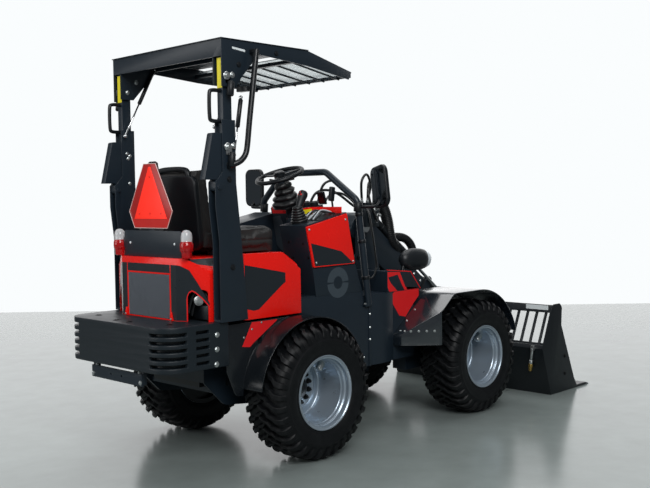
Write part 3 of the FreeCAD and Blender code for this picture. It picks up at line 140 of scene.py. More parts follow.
def add_node(tree: bpy.types.NodeTree, kind: str, inputs: Optional[dict] = None, **settings) -> bpy.types.Node:
    """Adds a node with its settings, input values and links.

    Args:
        tree: the node tree.
        kind: the node's type name.
        inputs: value or socket for each input, by name or by number.
        settings: the node's own properties.
    """
    node = tree.nodes.new(kind)
    for key, value in settings.items():
        setattr(node, key, value)
    for key, value in (inputs or {}).items():
        if isinstance(value, bpy.types.NodeSocket):
            tree.links.new(value, node.inputs[key])
        else:
            node.inputs[key].default_value = value
    return node


def noise(tree: bpy.types.NodeTree, place: Socket, scale: float, detail: float, **more: float) -> Socket:
    """A cloudy value at place; more holds further inputs of the noise."""
    inputs = {"Vector": place, "Scale": scale, "Detail": detail, **more}
    return add_node(tree, "ShaderNodeTexNoise", inputs).outputs["Fac"]


def remap(tree: bpy.types.NodeTree, value: Socket, **ends: float) -> Socket:
    """A value stretched between ends such as From_Min and To_Max."""
    inputs = {"Value": value, **{name.replace("_", " "): end for name, end in ends.items()}}
    return add_node(tree, "ShaderNodeMapRange", inputs).outputs["Result"]


def mixed(tree: bpy.types.NodeTree, share: Socket, first: object, second: object) -> Socket:
    """Two colours mixed by share; each is a linear colour or a socket."""
    inputs = {"Factor": share, COLOUR_A: first, COLOUR_B: second}
    return add_node(tree, "ShaderNodeMix", inputs, data_type="RGBA").outputs[COLOUR_OUT]


@dataclass(frozen=True)
class Finish:
    """A surface finish: its colours and how rough, shiny and uneven it is.

    grain_mm is the real size of the fine relief, relief its strength, mottle_mm the size of the slow
    changes of tone, mottle their share and uneven how far the roughness wanders.
    """

    name: str
    colour: str
    roughness: float
    slot: str
    metallic: float = 0.0
    ior: float = 1.5
    grain_mm: float = 3.0
    relief: float = 0.1
    relief_mm: float = 0.2
    mottle_mm: float = 90.0
    mottle: float = 0.06
    coat: float = 0.0
    coat_roughness: float = 0.08
    uneven: float = 0.07

    def between(self, tree: bpy.types.NodeTree, share: Socket) -> Socket:
        """The colour, from a little darker to a little lighter by share."""
        return mixed(tree, share, shade(self.colour, 1 - self.mottle), shade(self.colour, 1 + self.mottle))

    def tone(self, tree: bpy.types.NodeTree, place: Socket) -> Socket:
        """The base colour with its slow changes of tone."""
        return self.between(tree, noise(tree, place, 1000 / self.mottle_mm, 4.0))

    def gloss(self, tree: bpy.types.NodeTree, place: Socket) -> Socket:
        """The roughness, a little uneven as on a handled surface."""
        smears = noise(tree, place, 1000 / (self.mottle_mm * 0.6), 5.0)
        return remap(tree, smears, To_Min=max(self.roughness - self.uneven, 0.02),
                     To_Max=min(self.roughness + self.uneven, 1.0))

    def height(self, tree: bpy.types.NodeTree, place: Socket) -> Socket:
        """The fine relief's height."""
        return noise(tree, place, 1000 / self.grain_mm, 2.0)

    def extras(self, shader: bpy.types.Node) -> None:
        """Settings of one finish alone."""

    def make(self) -> bpy.types.Material:
        """Builds the material, once."""
        found = bpy.data.materials.get(self.name)
        if found:
            return found
        material = bpy.data.materials.new(self.name)
        material.use_nodes = True
        tree = material.node_tree
        tree.nodes.clear()
        place = add_node(tree, "ShaderNodeTexCoord").outputs["Object"]
        bump = add_node(tree, "ShaderNodeBump", {
            "Height": self.height(tree, place), "Strength": self.relief, "Distance": self.relief_mm * MM})
        shader = add_node(tree, "ShaderNodeBsdfPrincipled", {
            "Base Color": self.tone(tree, place), "Roughness": self.gloss(tree, place),
            "Normal": bump.outputs["Normal"], "Metallic": self.metallic, "IOR": self.ior,
            "Coat Weight": self.coat, "Coat Roughness": self.coat_roughness})
        self.extras(shader)
        add_node(tree, "ShaderNodeOutputMaterial", {"Surface": shader.outputs["BSDF"]})
        material.diffuse_color = linear(self.colour)
        return material


@dataclass(frozen=True)
class Rubber(Finish):
    """Vulcanised rubber: matt black with patches of grey bloom."""

    bloom: str = "#17191b"

    def tone(self, tree: bpy.types.NodeTree, place: Socket) -> Socket:
        """Black with patches of bloom."""
        patches = noise(tree, place, 1000 / self.mottle_mm, 7.0, Roughness=0.65)
        bloomed = remap(tree, patches, From_Min=0.45, From_Max=0.72, To_Max=0.6)
        return mixed(tree, bloomed, linear(self.colour), linear(self.bloom))


@dataclass(frozen=True)
class Plated(Finish):
    """Zinc plating: a bright metal broken into soft crystals."""

    crystal_mm: float = 4.0

    def height(self, tree: bpy.types.NodeTree, place: Socket) -> Socket:
        """The crystals stand out from each other very slightly."""
        cells = add_node(tree, "ShaderNodeTexVoronoi", {"Vector": place, "Scale": 1000 / self.crystal_mm})
        return cells.outputs["Distance"]


@dataclass(frozen=True)
class Grained(Finish):
    """A moulded plastic or vinyl skin with a pebbled grain of rounded cells."""

    def height(self, tree: bpy.types.NodeTree, place: Socket) -> Socket:
        """Rounded cells with fine creases between them."""
        inputs = {"Vector": place, "Scale": 1000 / self.grain_mm, "Smoothness": 0.4}
        return add_node(tree, "ShaderNodeTexVoronoi", inputs, feature="SMOOTH_F1").outputs["Distance"]


@dataclass(frozen=True)
class WornEdge(Finish):
    """Paint that is rubbed through to bright steel ahead of a line across the frame's X."""

    bare: str = "#8d9296"
    start_x: float = 1.85
    spread: float = 0.05

    def tone(self, tree: bpy.types.NodeTree, place: Socket) -> Socket:
        """Paint behind the line and scraped steel ahead of it, with a ragged border."""
        paint = super().tone(tree, place)
        ahead = add_node(tree, "ShaderNodeSeparateXYZ", {"Vector": place}).outputs["X"]
        edge = add_node(tree, "ShaderNodeMath", {0: noise(tree, place, 40.0, 8.0), 1: self.spread, 2: ahead},
                        operation="MULTIPLY_ADD")
        rubbed = remap(tree, edge.outputs["Value"], From_Min=self.start_x + self.spread * 0.5,
                       From_Max=self.start_x + self.spread)
        return mixed(tree, rubbed, paint, linear(self.bare))


@dataclass(frozen=True)
class Concrete(Finish):
    """Ground and sealed concrete with clouds and a soft sheen."""

    def tone(self, tree: bpy.types.NodeTree, place: Socket) -> Socket:
        """Two scales of clouds over the base grey."""
        wide, near = (noise(tree, place, scale, 5.0, Roughness=0.5) for scale in (0.8, 5.0))
        both = add_node(tree, "ShaderNodeMath", {0: wide, 1: near}, operation="ADD")
        return self.between(tree, remap(tree, both.outputs["Value"], From_Min=0.7, From_Max=1.3))


@dataclass(frozen=True)
class Lens(Finish):
    """A clear or tinted moulding that lets light through."""

    through: float = 0.9

    def extras(self, shader: bpy.types.Node) -> None:
        """Lets the light through."""
        shader.inputs["Transmission Weight"].default_value = self.through


@dataclass(frozen=True)
class Banded(Lens):
    """Two moulded colours in one lens body, parted at a height."""

    through: float = 0.35
    upper: str = "#d9dcde"
    part_z: float = 1.2

    def tone(self, tree: bpy.types.NodeTree, place: Socket) -> Socket:
        """The lower colour below the parting height and the upper one above it."""
        level = add_node(tree, "ShaderNodeSeparateXYZ", {"Vector": place}).outputs["Z"]
        above = remap(tree, level, From_Min=self.part_z - MM, From_Max=self.part_z + MM)
        return mixed(tree, above, linear(self.colour), linear(self.upper))


@dataclass(frozen=True)
class PaintedGlow(Finish):
    """A surface with a painted glow: it adds light of its own colour, whatever the lamps."""

    painted_glow: float = 0.35

    def extras(self, shader: bpy.types.Node) -> None:
        """Adds the painted glow."""
        shader.inputs["Emission Color"].default_value = linear(self.colour)
        shader.inputs["Emission Strength"].default_value = self.painted_glow


# Two-pack enamel over steel sheet: blue-black, even, satin, with a soft orange peel.
FRAME_PAINT = Finish("blue_black_enamel", "#1b252e", 0.34, "frame_paint", ior=1.42, grain_mm=5, relief=0.12)
# The hood's enamel: saturated and glossy, with wide soft reflections.
RED_PAINT = Finish("bright_red_enamel", "#ee1910", 0.26, "red_paint", ior=1.42, grain_mm=7, relief=0.08, mottle=0.03)
# Front fender sheet: dark and polished, so that its top mirrors the room.
FENDER_PAINT = Finish("fender_enamel", "#161d24", 0.2, "fender_paint", ior=1.75, grain_mm=8, relief=0.03,
                      coat=0.8, coat_roughness=0.13)
# Rear fenders: moulded and glossy black.
FENDER_PLASTIC = Finish("glossy_moulding", "#14181c", 0.2, "black_plastic", ior=1.5, grain_mm=9, relief=0.06)
# Wheel silver: aluminium flake lacquer, satin, a little blue.
RIM_SILVER = Finish("silver_wheel_lacquer", "#a3b0bc", 0.3, "rim_silver", metallic=0.65, grain_mm=1.5,
                    relief=0.05, mottle=0.03)
TREAD = Rubber("tyre_rubber", "#07090c", 0.5, "tyre", ior=1.33, grain_mm=2.5, relief=0.35, mottle_mm=60)
# Polypropylene mouldings: deep black with a fine spark-eroded grain.
BLACK_PLASTIC = Grained("black_polypropylene", "#0c1116", 0.44, "black_plastic", ior=1.42, grain_mm=2.0,
                        relief=0.22)
# Satin enamel on small steel parts.
BLACK_STEEL = Finish("satin_black_enamel", "#101418", 0.34, "black_steel", ior=1.45, grain_mm=4, relief=0.12)
GRILLE_GREY = Finish("coated_grille_steel", "#686e76", 0.5, "grille_grey", metallic=0.3, grain_mm=2, relief=0.1)
GRILLE_BACK = Finish("grille_plate_paint", "#34383e", 0.5, "grille_grey", grain_mm=2, relief=0.1)
CHROME = Finish("hard_chrome", "#d8dadc", 0.09, "chrome_rod", metallic=1.0, grain_mm=3, relief=0.02, mottle=0.02)
ZINC = Plated("zinc_plate", "#c3c7c7", 0.3, "zinc", metallic=0.9, relief=0.12, mottle_mm=12, mottle=0.1)
BRASS = Plated("brass_fitting", "#c4a35a", 0.3, "zinc", metallic=1.0, relief=0.1, mottle_mm=20)
SEAT_VINYL = Grained("seat_vinyl", "#05080c", 0.52, "seat_vinyl", ior=1.33, grain_mm=3.0, relief=0.35,
                     relief_mm=0.3)
LAMP_BODY = Banded("tail_lamp_moulding", "#c3161a", 0.12, "lamp_red", grain_mm=6, relief=0.1, part_z=1.238)
LAMP_BLACK = Finish("lamp_housing_moulding", "#161a1e", 0.4, "lamp_black", ior=1.42, grain_mm=3, relief=0.1)
# Ribbed work light glass over a bright reflector; its faint glow is painted light standing in for the reflector's
# brightness.
WORK_LENS = PaintedGlow("work_light_glass", "#ccd4d9", 0.1, "clear", grain_mm=4, relief=0.35, mottle=0.15, painted_glow=0.06)
SIGN_RED = Finish("reflective_border_red", "#ae1108", 0.32, "sign", grain_mm=3, relief=0.1)
SIGN_FOOT = Finish("reflective_foot_red", "#c81a10", 0.32, "sign", grain_mm=3, relief=0.1)
SIGN_EDGE = Finish("sign_edge_white", "#e6c9c4", 0.4, "sign", grain_mm=3, relief=0.05)
# The field's film is fluorescent; its glow is painted light, the same whatever the lamps.
SIGN_ORANGE = PaintedGlow("fluorescent_orange_film", "#ff2a14", 0.38, "sign", grain_mm=3, relief=0.1, mottle=0.02)
WINDOW = Lens("clear_polycarbonate", "#eef4f5", 0.07, "clear", grain_mm=40, relief=0.03, through=0.92)
BUCKET_PAINT = WornEdge("bucket_enamel", "#14191d", 0.38, "worn_steel", ior=1.42, grain_mm=4, relief=0.2,
                        mottle=0.1)
# Sand casting under paint: coarse skin.
CAST_PAINT = Finish("painted_casting", "#182026", 0.4, "cast_dark", ior=1.42, grain_mm=6, relief=0.3,
                    relief_mm=0.3)
DECAL_DARK = Finish("charcoal_vinyl_film", "#20262b", 0.3, "frame_paint", ior=1.42, grain_mm=10, relief=0.04)
DECAL_GREY = Finish("grey_ring_film", "#3c464e", 0.4, "frame_paint", ior=1.42, grain_mm=10, relief=0.04)
DECAL_RED = Finish("red_vinyl_film", "#dc1f22", 0.3, "red_paint", ior=1.42, grain_mm=10, relief=0.04)
DECAL_YELLOW = Finish("yellow_label_film", "#f2e21c", 0.4, "sign", grain_mm=10, relief=0.04)
DECAL_WHITE = Finish("white_label_film", "#dfe6e8", 0.4, "rim_silver", grain_mm=10, relief=0.04)
# Rubber hose cover: matt with a cloth-wrapped skin.
HOSE = Rubber("hydraulic_hose", "#0b0e11", 0.42, "black_plastic", grain_mm=1.6, relief=0.4, mottle_mm=50,
              bloom="#1a1c1d")
WIRE_GREY = Finish("grey_cable_skin", "#b8bfc4", 0.4, "black_plastic", grain_mm=2, relief=0.05)
MIRROR = Finish("silvered_glass", "#6a7177", 0.03, "chrome_rod", metallic=1.0, grain_mm=60, relief=0.01, mottle=0.01)
NUT_BLACK = Finish("phosphated_steel", "#0d0f11", 0.45, "black_steel", metallic=0.4, grain_mm=2, relief=0.2)
SCREEN = Finish("display_glass", "#0a0c0e", 0.08, "lamp_black", grain_mm=40, relief=0.02)
FLOOR = Concrete("sealed_concrete", "#7f8886", 0.2, "floor", grain_mm=30, relief=0.0, mottle=0.1)

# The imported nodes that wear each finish.
WORN_BY: dict[Finish, str] = {
    FRAME_PAINT: (
        "rear_axle rear_chassis tow_plate side_plates floor_plate console guard_hoop lower_posts "
        "light_bracket front_axle front_housing front_chassis front_cowl boom_tower upper_posts canopy_frame "
        "roof_plate outer_boom inner_boom quick_hitch"
    ),
    BLACK_STEEL: "engine_block steering_barrel canopy_fittings slide_barrels lift_barrel tilt_barrel",
    CAST_PAINT: "counterweight",
    RED_PAINT: "engine_hood side_panels",
    GRILLE_GREY: "radiator_grille",
    FENDER_PLASTIC: "rear_fenders",
    BLACK_PLASTIC: "steering_wheel control_levers mirrors hose_guard",
    SEAT_VINYL: "seat_cushion seat_back arm_rest",
    ZINC: "fold_pins",
    LAMP_BODY: "tail_lights",
    SIGN_RED: "warning_triangle",
    FENDER_PAINT: "front_fenders",
    LAMP_BLACK: "head_lights",
    WINDOW: "roof_window",
    CHROME: "slide_rods lift_rod tilt_rod steering_rod",
    BUCKET_PAINT: "bucket bucket_grate",
    RIM_SILVER: "rim_rear_left rim_rear_right rim_front_left rim_front_right",
    TREAD: "tyre_rear_left tyre_rear_right tyre_front_left tyre_front_right",
}
NODE_FINISH = {node: finish for finish, nodes in WORN_BY.items() for node in nodes.split()}

# Sheet and cast parts whose edges are eased: for each body, its nodes and the width of the easing in metres.
EASED: dict[str, dict[str, float]] = {
    REAR: {"counterweight": 0.004, "side_panels": 0.0016, "engine_hood": 0.0016, "console": 0.0016,
           "side_plates": 0.0014, "rear_fenders": 0.0014, "lower_posts": 0.0014, "light_bracket": 0.0014,
           "tow_plate": 0.0016, "guard_hoop": 0.001},
    FRONT: {"front_cowl": 0.002, "front_fenders": 0.0014, "boom_tower": 0.002},
    CANOPY: {"upper_posts": 0.002, "canopy_frame": 0.0014, "roof_plate": 0.0014},
    BOOM: {"outer_boom": 0.003},
    TOOL: {"bucket": 0.002, "bucket_grate": 0.0014},
}


# ---------------------------------------------------------------- forms

class Plane(Enum):
    """The plane an outline is drawn on; its third axis is the way it is thickened."""

    XZ = (0, 2, 1)
    YZ = (1, 2, 0)
    XY = (0, 1, 2)


class Form:
    """Mesh makers. Each returns a bmesh that the caller owns."""

    @staticmethod
    def prism(outline: Sequence[Point], low: float, high: float, plane: Plane = Plane.XZ, bevel: float = 0.0,
              segments: int = 2) -> bmesh.types.BMesh:
        """A flat outline thickened from low to high.

        Args:
            outline: the corners, in order.
            low: the first face's place on the third axis.
            high: the second face's place.
            plane: the plane that the outline is drawn on.
            bevel: how far its sharp edges are rounded.
            segments: the rounding's steps.
        """
        first, second, third = plane.value
        form = bmesh.new()
        rings = []
        for level in (low, high):
            ring = []
            for a, b in outline:
                place = [0.0, 0.0, 0.0]
                place[first], place[second], place[third] = a, b, level
                ring.append(form.verts.new(place))
            rings.append(ring)
        count = len(outline)
        form.faces.new(rings[0])
        form.faces.new(reversed(rings[1]))
        for i in range(count):
            j = (i + 1) % count
            form.faces.new((rings[0][i], rings[1][i], rings[1][j], rings[0][j]))
        bmesh.ops.recalc_face_normals(form, faces=form.faces)
        if bevel:
            Form.soften(form, bevel, segments)
        return form

    @staticmethod
    def lathe(profile: Sequence[Point], steps: int = 64, closed: bool = False) -> bmesh.types.BMesh:
        """A profile of (radius, along) turned about the Y axis.

        Args:
            profile: points of the half section.
            steps: how many faces go round.
            closed: whether the profile's last point joins its first.
        """
        form = bmesh.new()
        rings = []
        for radius, along in profile:
            if radius < 1e-6:
                rings.append([form.verts.new((0, along, 0))])
                continue
            ring = []
            for i in range(steps):
                angle = math.tau * i / steps
                ring.append(form.verts.new((radius * math.sin(angle), along, radius * math.cos(angle))))
            rings.append(ring)
        pairs = list(zip(rings, rings[1:]))
        if closed:
            pairs.append((rings[-1], rings[0]))
        for lower, upper in pairs:
            for i in range(steps):
                j = (i + 1) % steps
                corners = [lower[i % len(lower)], lower[j % len(lower)], upper[j % len(upper)], upper[i % len(upper)]]
                unique = list(dict.fromkeys(corners))
                if len(unique) > 2:
                    form.faces.new(unique)
        bmesh.ops.recalc_face_normals(form, faces=form.faces)
        return form

    @staticmethod
    def block(low: Point, high: Point, bevel: float = 0.0, segments: int = 2) -> bmesh.types.BMesh:
        """A box between any two opposite corners, with rounded edges."""
        form = bmesh.new()
        bmesh.ops.create_cube(form, size=1.0)
        low, high = (Vector([pick(a, b) for a, b in zip(low, high)]) for pick in (min, max))
        size = high - low
        for vert in form.verts:
            vert.co = Vector([low[i] + (vert.co[i] + 0.5) * size[i] for i in range(3)])
        if bevel:
            Form.soften(form, bevel, segments)
        return form

    @staticmethod
    def soften(form: bmesh.types.BMesh, width: float, segments: int = 2, angle: float = 30.0) -> bmesh.types.BMesh:
        """Rounds the edges that are sharper than angle."""
        edges = [e for e in form.edges if len(e.link_faces) == 2 and e.calc_face_angle(0) > math.radians(angle)]
        bmesh.ops.bevel(form, geom=edges, offset=width, segments=segments, profile=0.6, affect="EDGES",
                        clamp_overlap=True)
        return form

    @staticmethod
    def spline(points: Sequence[Point], order: int, detail: int) -> bpy.types.Curve:
        """A smooth line that starts and ends on its outer control points."""
        data = bpy.data.curves.new("line", "CURVE")
        data.dimensions = "3D"
        data.resolution_u = detail
        spline = data.splines.new("NURBS")
        spline.points.add(len(points) - 1)
        for knot, point in zip(spline.points, points):
            knot.co = (*point, 1.0)
        spline.order_u = order
        spline.use_endpoint_u = True
        return data

    @staticmethod
    def of_curve(data: bpy.types.Curve) -> bmesh.types.BMesh:
        """A curve's mesh; the curve itself is removed."""
        host = bpy.data.objects.new("line", data)
        mesh = bpy.data.meshes.new_from_object(host)
        form = bmesh.new()
        form.from_mesh(mesh)
        bpy.data.objects.remove(host)
        bpy.data.curves.remove(data)
        bpy.data.meshes.remove(mesh)
        return form

    @staticmethod
    def pipe(points: Sequence[Point], radius: float, sides: int = 12, order: int = 3,
             detail: int = 10) -> bmesh.types.BMesh:
        """A closed round tube along a smooth line through or near the points.

        Args:
            points: the line's control points.
            radius: the tube's radius.
            sides: how many faces go round.
            order: the spline's order; 2 gives straight runs.
            detail: steps between control points.

        Returns:
            The tube with its ends closed.
        """
        data = Form.spline(points, min(order, len(points)), detail)
        data.bevel_depth = radius
        data.bevel_resolution = max(sides // 4 - 1, 0)
        data.use_fill_caps = True
        form = Form.of_curve(data)
        bmesh.ops.remove_doubles(form, verts=form.verts, dist=radius * 0.01)
        bmesh.ops.recalc_face_normals(form, faces=form.faces)
        return form

    @staticmethod
    def merge(*forms: bmesh.types.BMesh) -> bmesh.types.BMesh:
        """Puts several forms in one."""
        whole = bmesh.new()
        for form in forms:
            mesh = bpy.data.meshes.new("part")
            form.to_mesh(mesh)
            whole.from_mesh(mesh)
            form.free()
            bpy.data.meshes.remove(mesh)
        return whole

    @staticmethod
    def place(form: bmesh.types.BMesh, offset: Point = (0, 0, 0),
              turn: Optional[Quaternion] = None) -> bmesh.types.BMesh:
        """Turns a form about the origin and moves it."""
        matrix = Matrix.Translation(Vector(offset)) @ (turn.to_matrix().to_4x4() if turn else Matrix.Identity(4))
        bmesh.ops.transform(form, matrix=matrix, verts=form.verts)
        return form

    @staticmethod
    def along(form: bmesh.types.BMesh, start: Point, way: Point) -> bmesh.types.BMesh:
        """Moves a form that was made along +Y from the origin, to start and to point along way."""
        return Form.place(form, start, Vector((0, 1, 0)).rotation_difference(Vector(way)))

    @staticmethod
    def rod(start: Point, end: Point, radius: float, sides: int = 20, edge: float = 0.15) -> bmesh.types.BMesh:
        """A round rod between two points with its end edges eased by a share of its radius."""
        way = Vector(end) - Vector(start)
        ease = radius * edge
        form = Form.lathe([(0, 0), (radius - ease, 0), (radius, ease), (radius, way.length - ease),
                           (radius - ease, way.length), (0, way.length)], sides)
        return Form.along(form, start, way)

    @staticmethod
    def rect(left: float, bottom: float, right: float, top: float) -> list[tuple[float, float]]:
        """The corners of a rectangle."""
        return [(left, bottom), (right, bottom), (right, top), (left, top)]

    @staticmethod
    def rounded(half_a: float, half_b: float, radius: float, steps: int = 8) -> list[tuple[float, float]]:
        """The corners of a rectangle about the origin whose four corners are rounded."""
        corners = []
        for sa, sb, start in ((1, 1, 0), (-1, 1, 90), (-1, -1, 180), (1, -1, 270)):
            for i in range(steps + 1):
                angle = math.radians(start + 90 * i / steps)
                corners.append((sa * (half_a - radius) + radius * math.cos(angle),
                                sb * (half_b - radius) + radius * math.sin(angle)))
        return corners

    @staticmethod
    def both(form: bmesh.types.BMesh) -> bmesh.types.BMesh:
        """The form and its mirror image across the middle plane."""
        other = form.copy()
        for vert in other.verts:
            vert.co.y = -vert.co.y
        bmesh.ops.reverse_faces(other, faces=other.faces)
        return Form.merge(form, other)


# ---------------------------------------------------------------- repeats by Geometry Nodes

class Repeat:
    """Geometry Nodes trees for what repeats: round an axis, along a row, on points or along a path."""

    KINDS = {int: "NodeSocketInt", float: "NodeSocketFloat", tuple: "NodeSocketVector"}

    @staticmethod
    def _tree(name: str, **inputs: object) -> tuple:
        """Starts a tree with its inputs, which have _ for a space, and its finish.

        Returns:
            The tree, its group input's outputs and its group output node.
        """
        tree = bpy.data.node_groups.new(name, "GeometryNodeTree")
        add = tree.interface.new_socket
        add("Geometry", in_out="INPUT", socket_type="NodeSocketGeometry")
        for label, value in inputs.items():
            add(label.replace("_", " "), in_out="INPUT", socket_type=Repeat.KINDS[type(value)]).default_value = value
        add("Finish", in_out="INPUT", socket_type="NodeSocketMaterial")
        add("Geometry", in_out="OUTPUT", socket_type="NodeSocketGeometry")
        return tree, add_node(tree, "NodeGroupInput").outputs, add_node(tree, "NodeGroupOutput")

    @staticmethod
    def _copy(tree: bpy.types.NodeTree, entry: object, leave: bpy.types.Node, points: Socket, shape: Socket,
              turn: Optional[Socket] = None) -> bpy.types.NodeTree:
        """Puts the shape on the points, makes the copies real, gives them their finish and ends the tree."""
        spread = {"Points": points, "Instance": shape}
        if turn is not None:
            spread["Rotation"] = turn
        copies = add_node(tree, "GeometryNodeInstanceOnPoints", spread)
        real = add_node(tree, "GeometryNodeRealizeInstances", {"Geometry": copies.outputs["Instances"]})
        dressed = add_node(tree, "GeometryNodeSetMaterial", {"Geometry": real.outputs["Geometry"],
                                                             "Material": entry["Finish"]})
        tree.links.new(dressed.outputs["Geometry"], leave.inputs["Geometry"])
        return tree

    @staticmethod
    def _times(tree: bpy.types.NodeTree, first: Socket, second: object) -> Socket:
        """A product."""
        return add_node(tree, "ShaderNodeMath", {0: first, 1: second}, operation="MULTIPLY").outputs["Value"]

    @staticmethod
    def _raised(tree: bpy.types.NodeTree, mesh: Socket, height: Socket) -> Socket:
        """A mesh moved up."""
        lift = add_node(tree, "ShaderNodeCombineXYZ", {"Z": height}).outputs["Vector"]
        return add_node(tree, "GeometryNodeTransform", {"Geometry": mesh, "Translation": lift}).outputs["Geometry"]

    @staticmethod
    def _facing(tree: bpy.types.NodeTree, way: Socket) -> Socket:
        """The rotation that points Z along way."""
        return add_node(tree, "FunctionNodeAlignRotationToVector", {"Vector": way}, axis="Z").outputs["Rotation"]

    @staticmethod
    def ring() -> bpy.types.NodeTree:
        """Copies of the geometry round the Y axis."""
        tree, entry, leave = Repeat._tree("ring_of_copies", Count=8, Step=0.785)
        spots = add_node(tree, "GeometryNodeMeshLine", {"Count": entry["Count"], "Offset": (0, 0, 0)})
        index = add_node(tree, "GeometryNodeInputIndex").outputs["Index"]
        euler = add_node(tree, "ShaderNodeCombineXYZ", {"Y": Repeat._times(tree, index, entry["Step"])})
        turn = add_node(tree, "FunctionNodeEulerToRotation", {"Euler": euler.outputs["Vector"]})
        return Repeat._copy(tree, entry, leave, spots.outputs["Mesh"], entry["Geometry"], turn.outputs["Rotation"])

    @staticmethod
    def row() -> bpy.types.NodeTree:
        """Copies of the geometry in a straight row."""
        tree, entry, leave = Repeat._tree("row_of_copies", Count=8, Offset=(0, 0, 0.01))
        spots = add_node(tree, "GeometryNodeMeshLine", {"Count": entry["Count"], "Offset": entry["Offset"]})
        return Repeat._copy(tree, entry, leave, spots.outputs["Mesh"], entry["Geometry"])

    @staticmethod
    def bolts() -> bpy.types.NodeTree:
        """A hexagon head on a washer at each point, facing along the point's own direction."""
        tree, entry, leave = Repeat._tree("bolt_heads", Head_radius=0.009, Head_height=0.006, Washer_radius=0.012,
                                          Sides=6)
        sides, radius, height = entry["Sides"], entry["Head radius"], entry["Head height"]
        shank = add_node(tree, "GeometryNodeMeshCylinder", {"Vertices": sides, "Radius": radius, "Depth": height})
        crown = add_node(tree, "GeometryNodeMeshCone", {
            "Vertices": sides, "Radius Top": Repeat._times(tree, radius, 0.8), "Radius Bottom": radius,
            "Depth": 0.0012})
        washer = add_node(tree, "GeometryNodeMeshCylinder", {"Vertices": 20, "Radius": entry["Washer radius"],
                                                             "Depth": 0.003})
        join = add_node(tree, "GeometryNodeJoinGeometry")
        for part in (Repeat._raised(tree, shank.outputs["Mesh"], Repeat._times(tree, height, 0.5)),
                     Repeat._raised(tree, crown.outputs["Mesh"], height), washer.outputs["Mesh"]):
            tree.links.new(part, join.inputs["Geometry"])
        way = add_node(tree, "GeometryNodeInputNamedAttribute", {"Name": "facing"}, data_type="FLOAT_VECTOR")
        return Repeat._copy(tree, entry, leave, entry["Geometry"], join.outputs["Geometry"],
                            Repeat._facing(tree, way.outputs["Attribute"]))

    @staticmethod
    def corrugation() -> bpy.types.NodeTree:
        """Rings threaded on the geometry's line of points, as on a corrugated sleeve."""
        tree, entry, leave = Repeat._tree("rings_along_a_path", Pitch=0.01, Ring_radius=0.03, Rib_radius=0.004)
        line = add_node(tree, "GeometryNodeMeshToCurve", {"Mesh": entry["Geometry"]})
        spots = add_node(tree, "GeometryNodeResampleCurve", {"Curve": line.outputs["Curve"], "Length": entry["Pitch"]},
                         mode="LENGTH")
        hoop, rib = (add_node(tree, "GeometryNodeCurvePrimitiveCircle", {"Resolution": steps,
                                                                         "Radius": entry[label]}).outputs["Curve"]
                     for label, steps in (("Ring radius", 24), ("Rib radius", 6)))
        ring = add_node(tree, "GeometryNodeCurveToMesh", {"Curve": hoop, "Profile Curve": rib})
        tangent = add_node(tree, "GeometryNodeInputTangent").outputs["Tangent"]
        return Repeat._copy(tree, entry, leave, spots.outputs["Curve"], ring.outputs["Mesh"],
                            Repeat._facing(tree, tangent))


# ---------------------------------------------------------------- workshop

@dataclass(frozen=True)
class Head:
    """A bolt head's size: its radius, height, washer radius and number of sides."""

    radius: float
    height: float
    washer: float
    sides: int = 6


def flank_rays(spots: Iterable[Point], start: float = 0.9, outward: bool = False) -> list[tuple[Point, Point]]:
    """Rays across the object at (x, z) spots, from +-start inwards or outwards."""
    way = 1 if outward else -1
    return [((x, s * start, z), (0, way * s, 0)) for s in SIDES for x, z in spots]


def forward_rays(start: float, spots: Iterable[Point]) -> list[tuple[Point, Point]]:
    """Rays forward from x = start at (y, z) spots on both sides."""
    return [((start, s * y, z), (1, 0, 0)) for s in SIDES for y, z in spots]


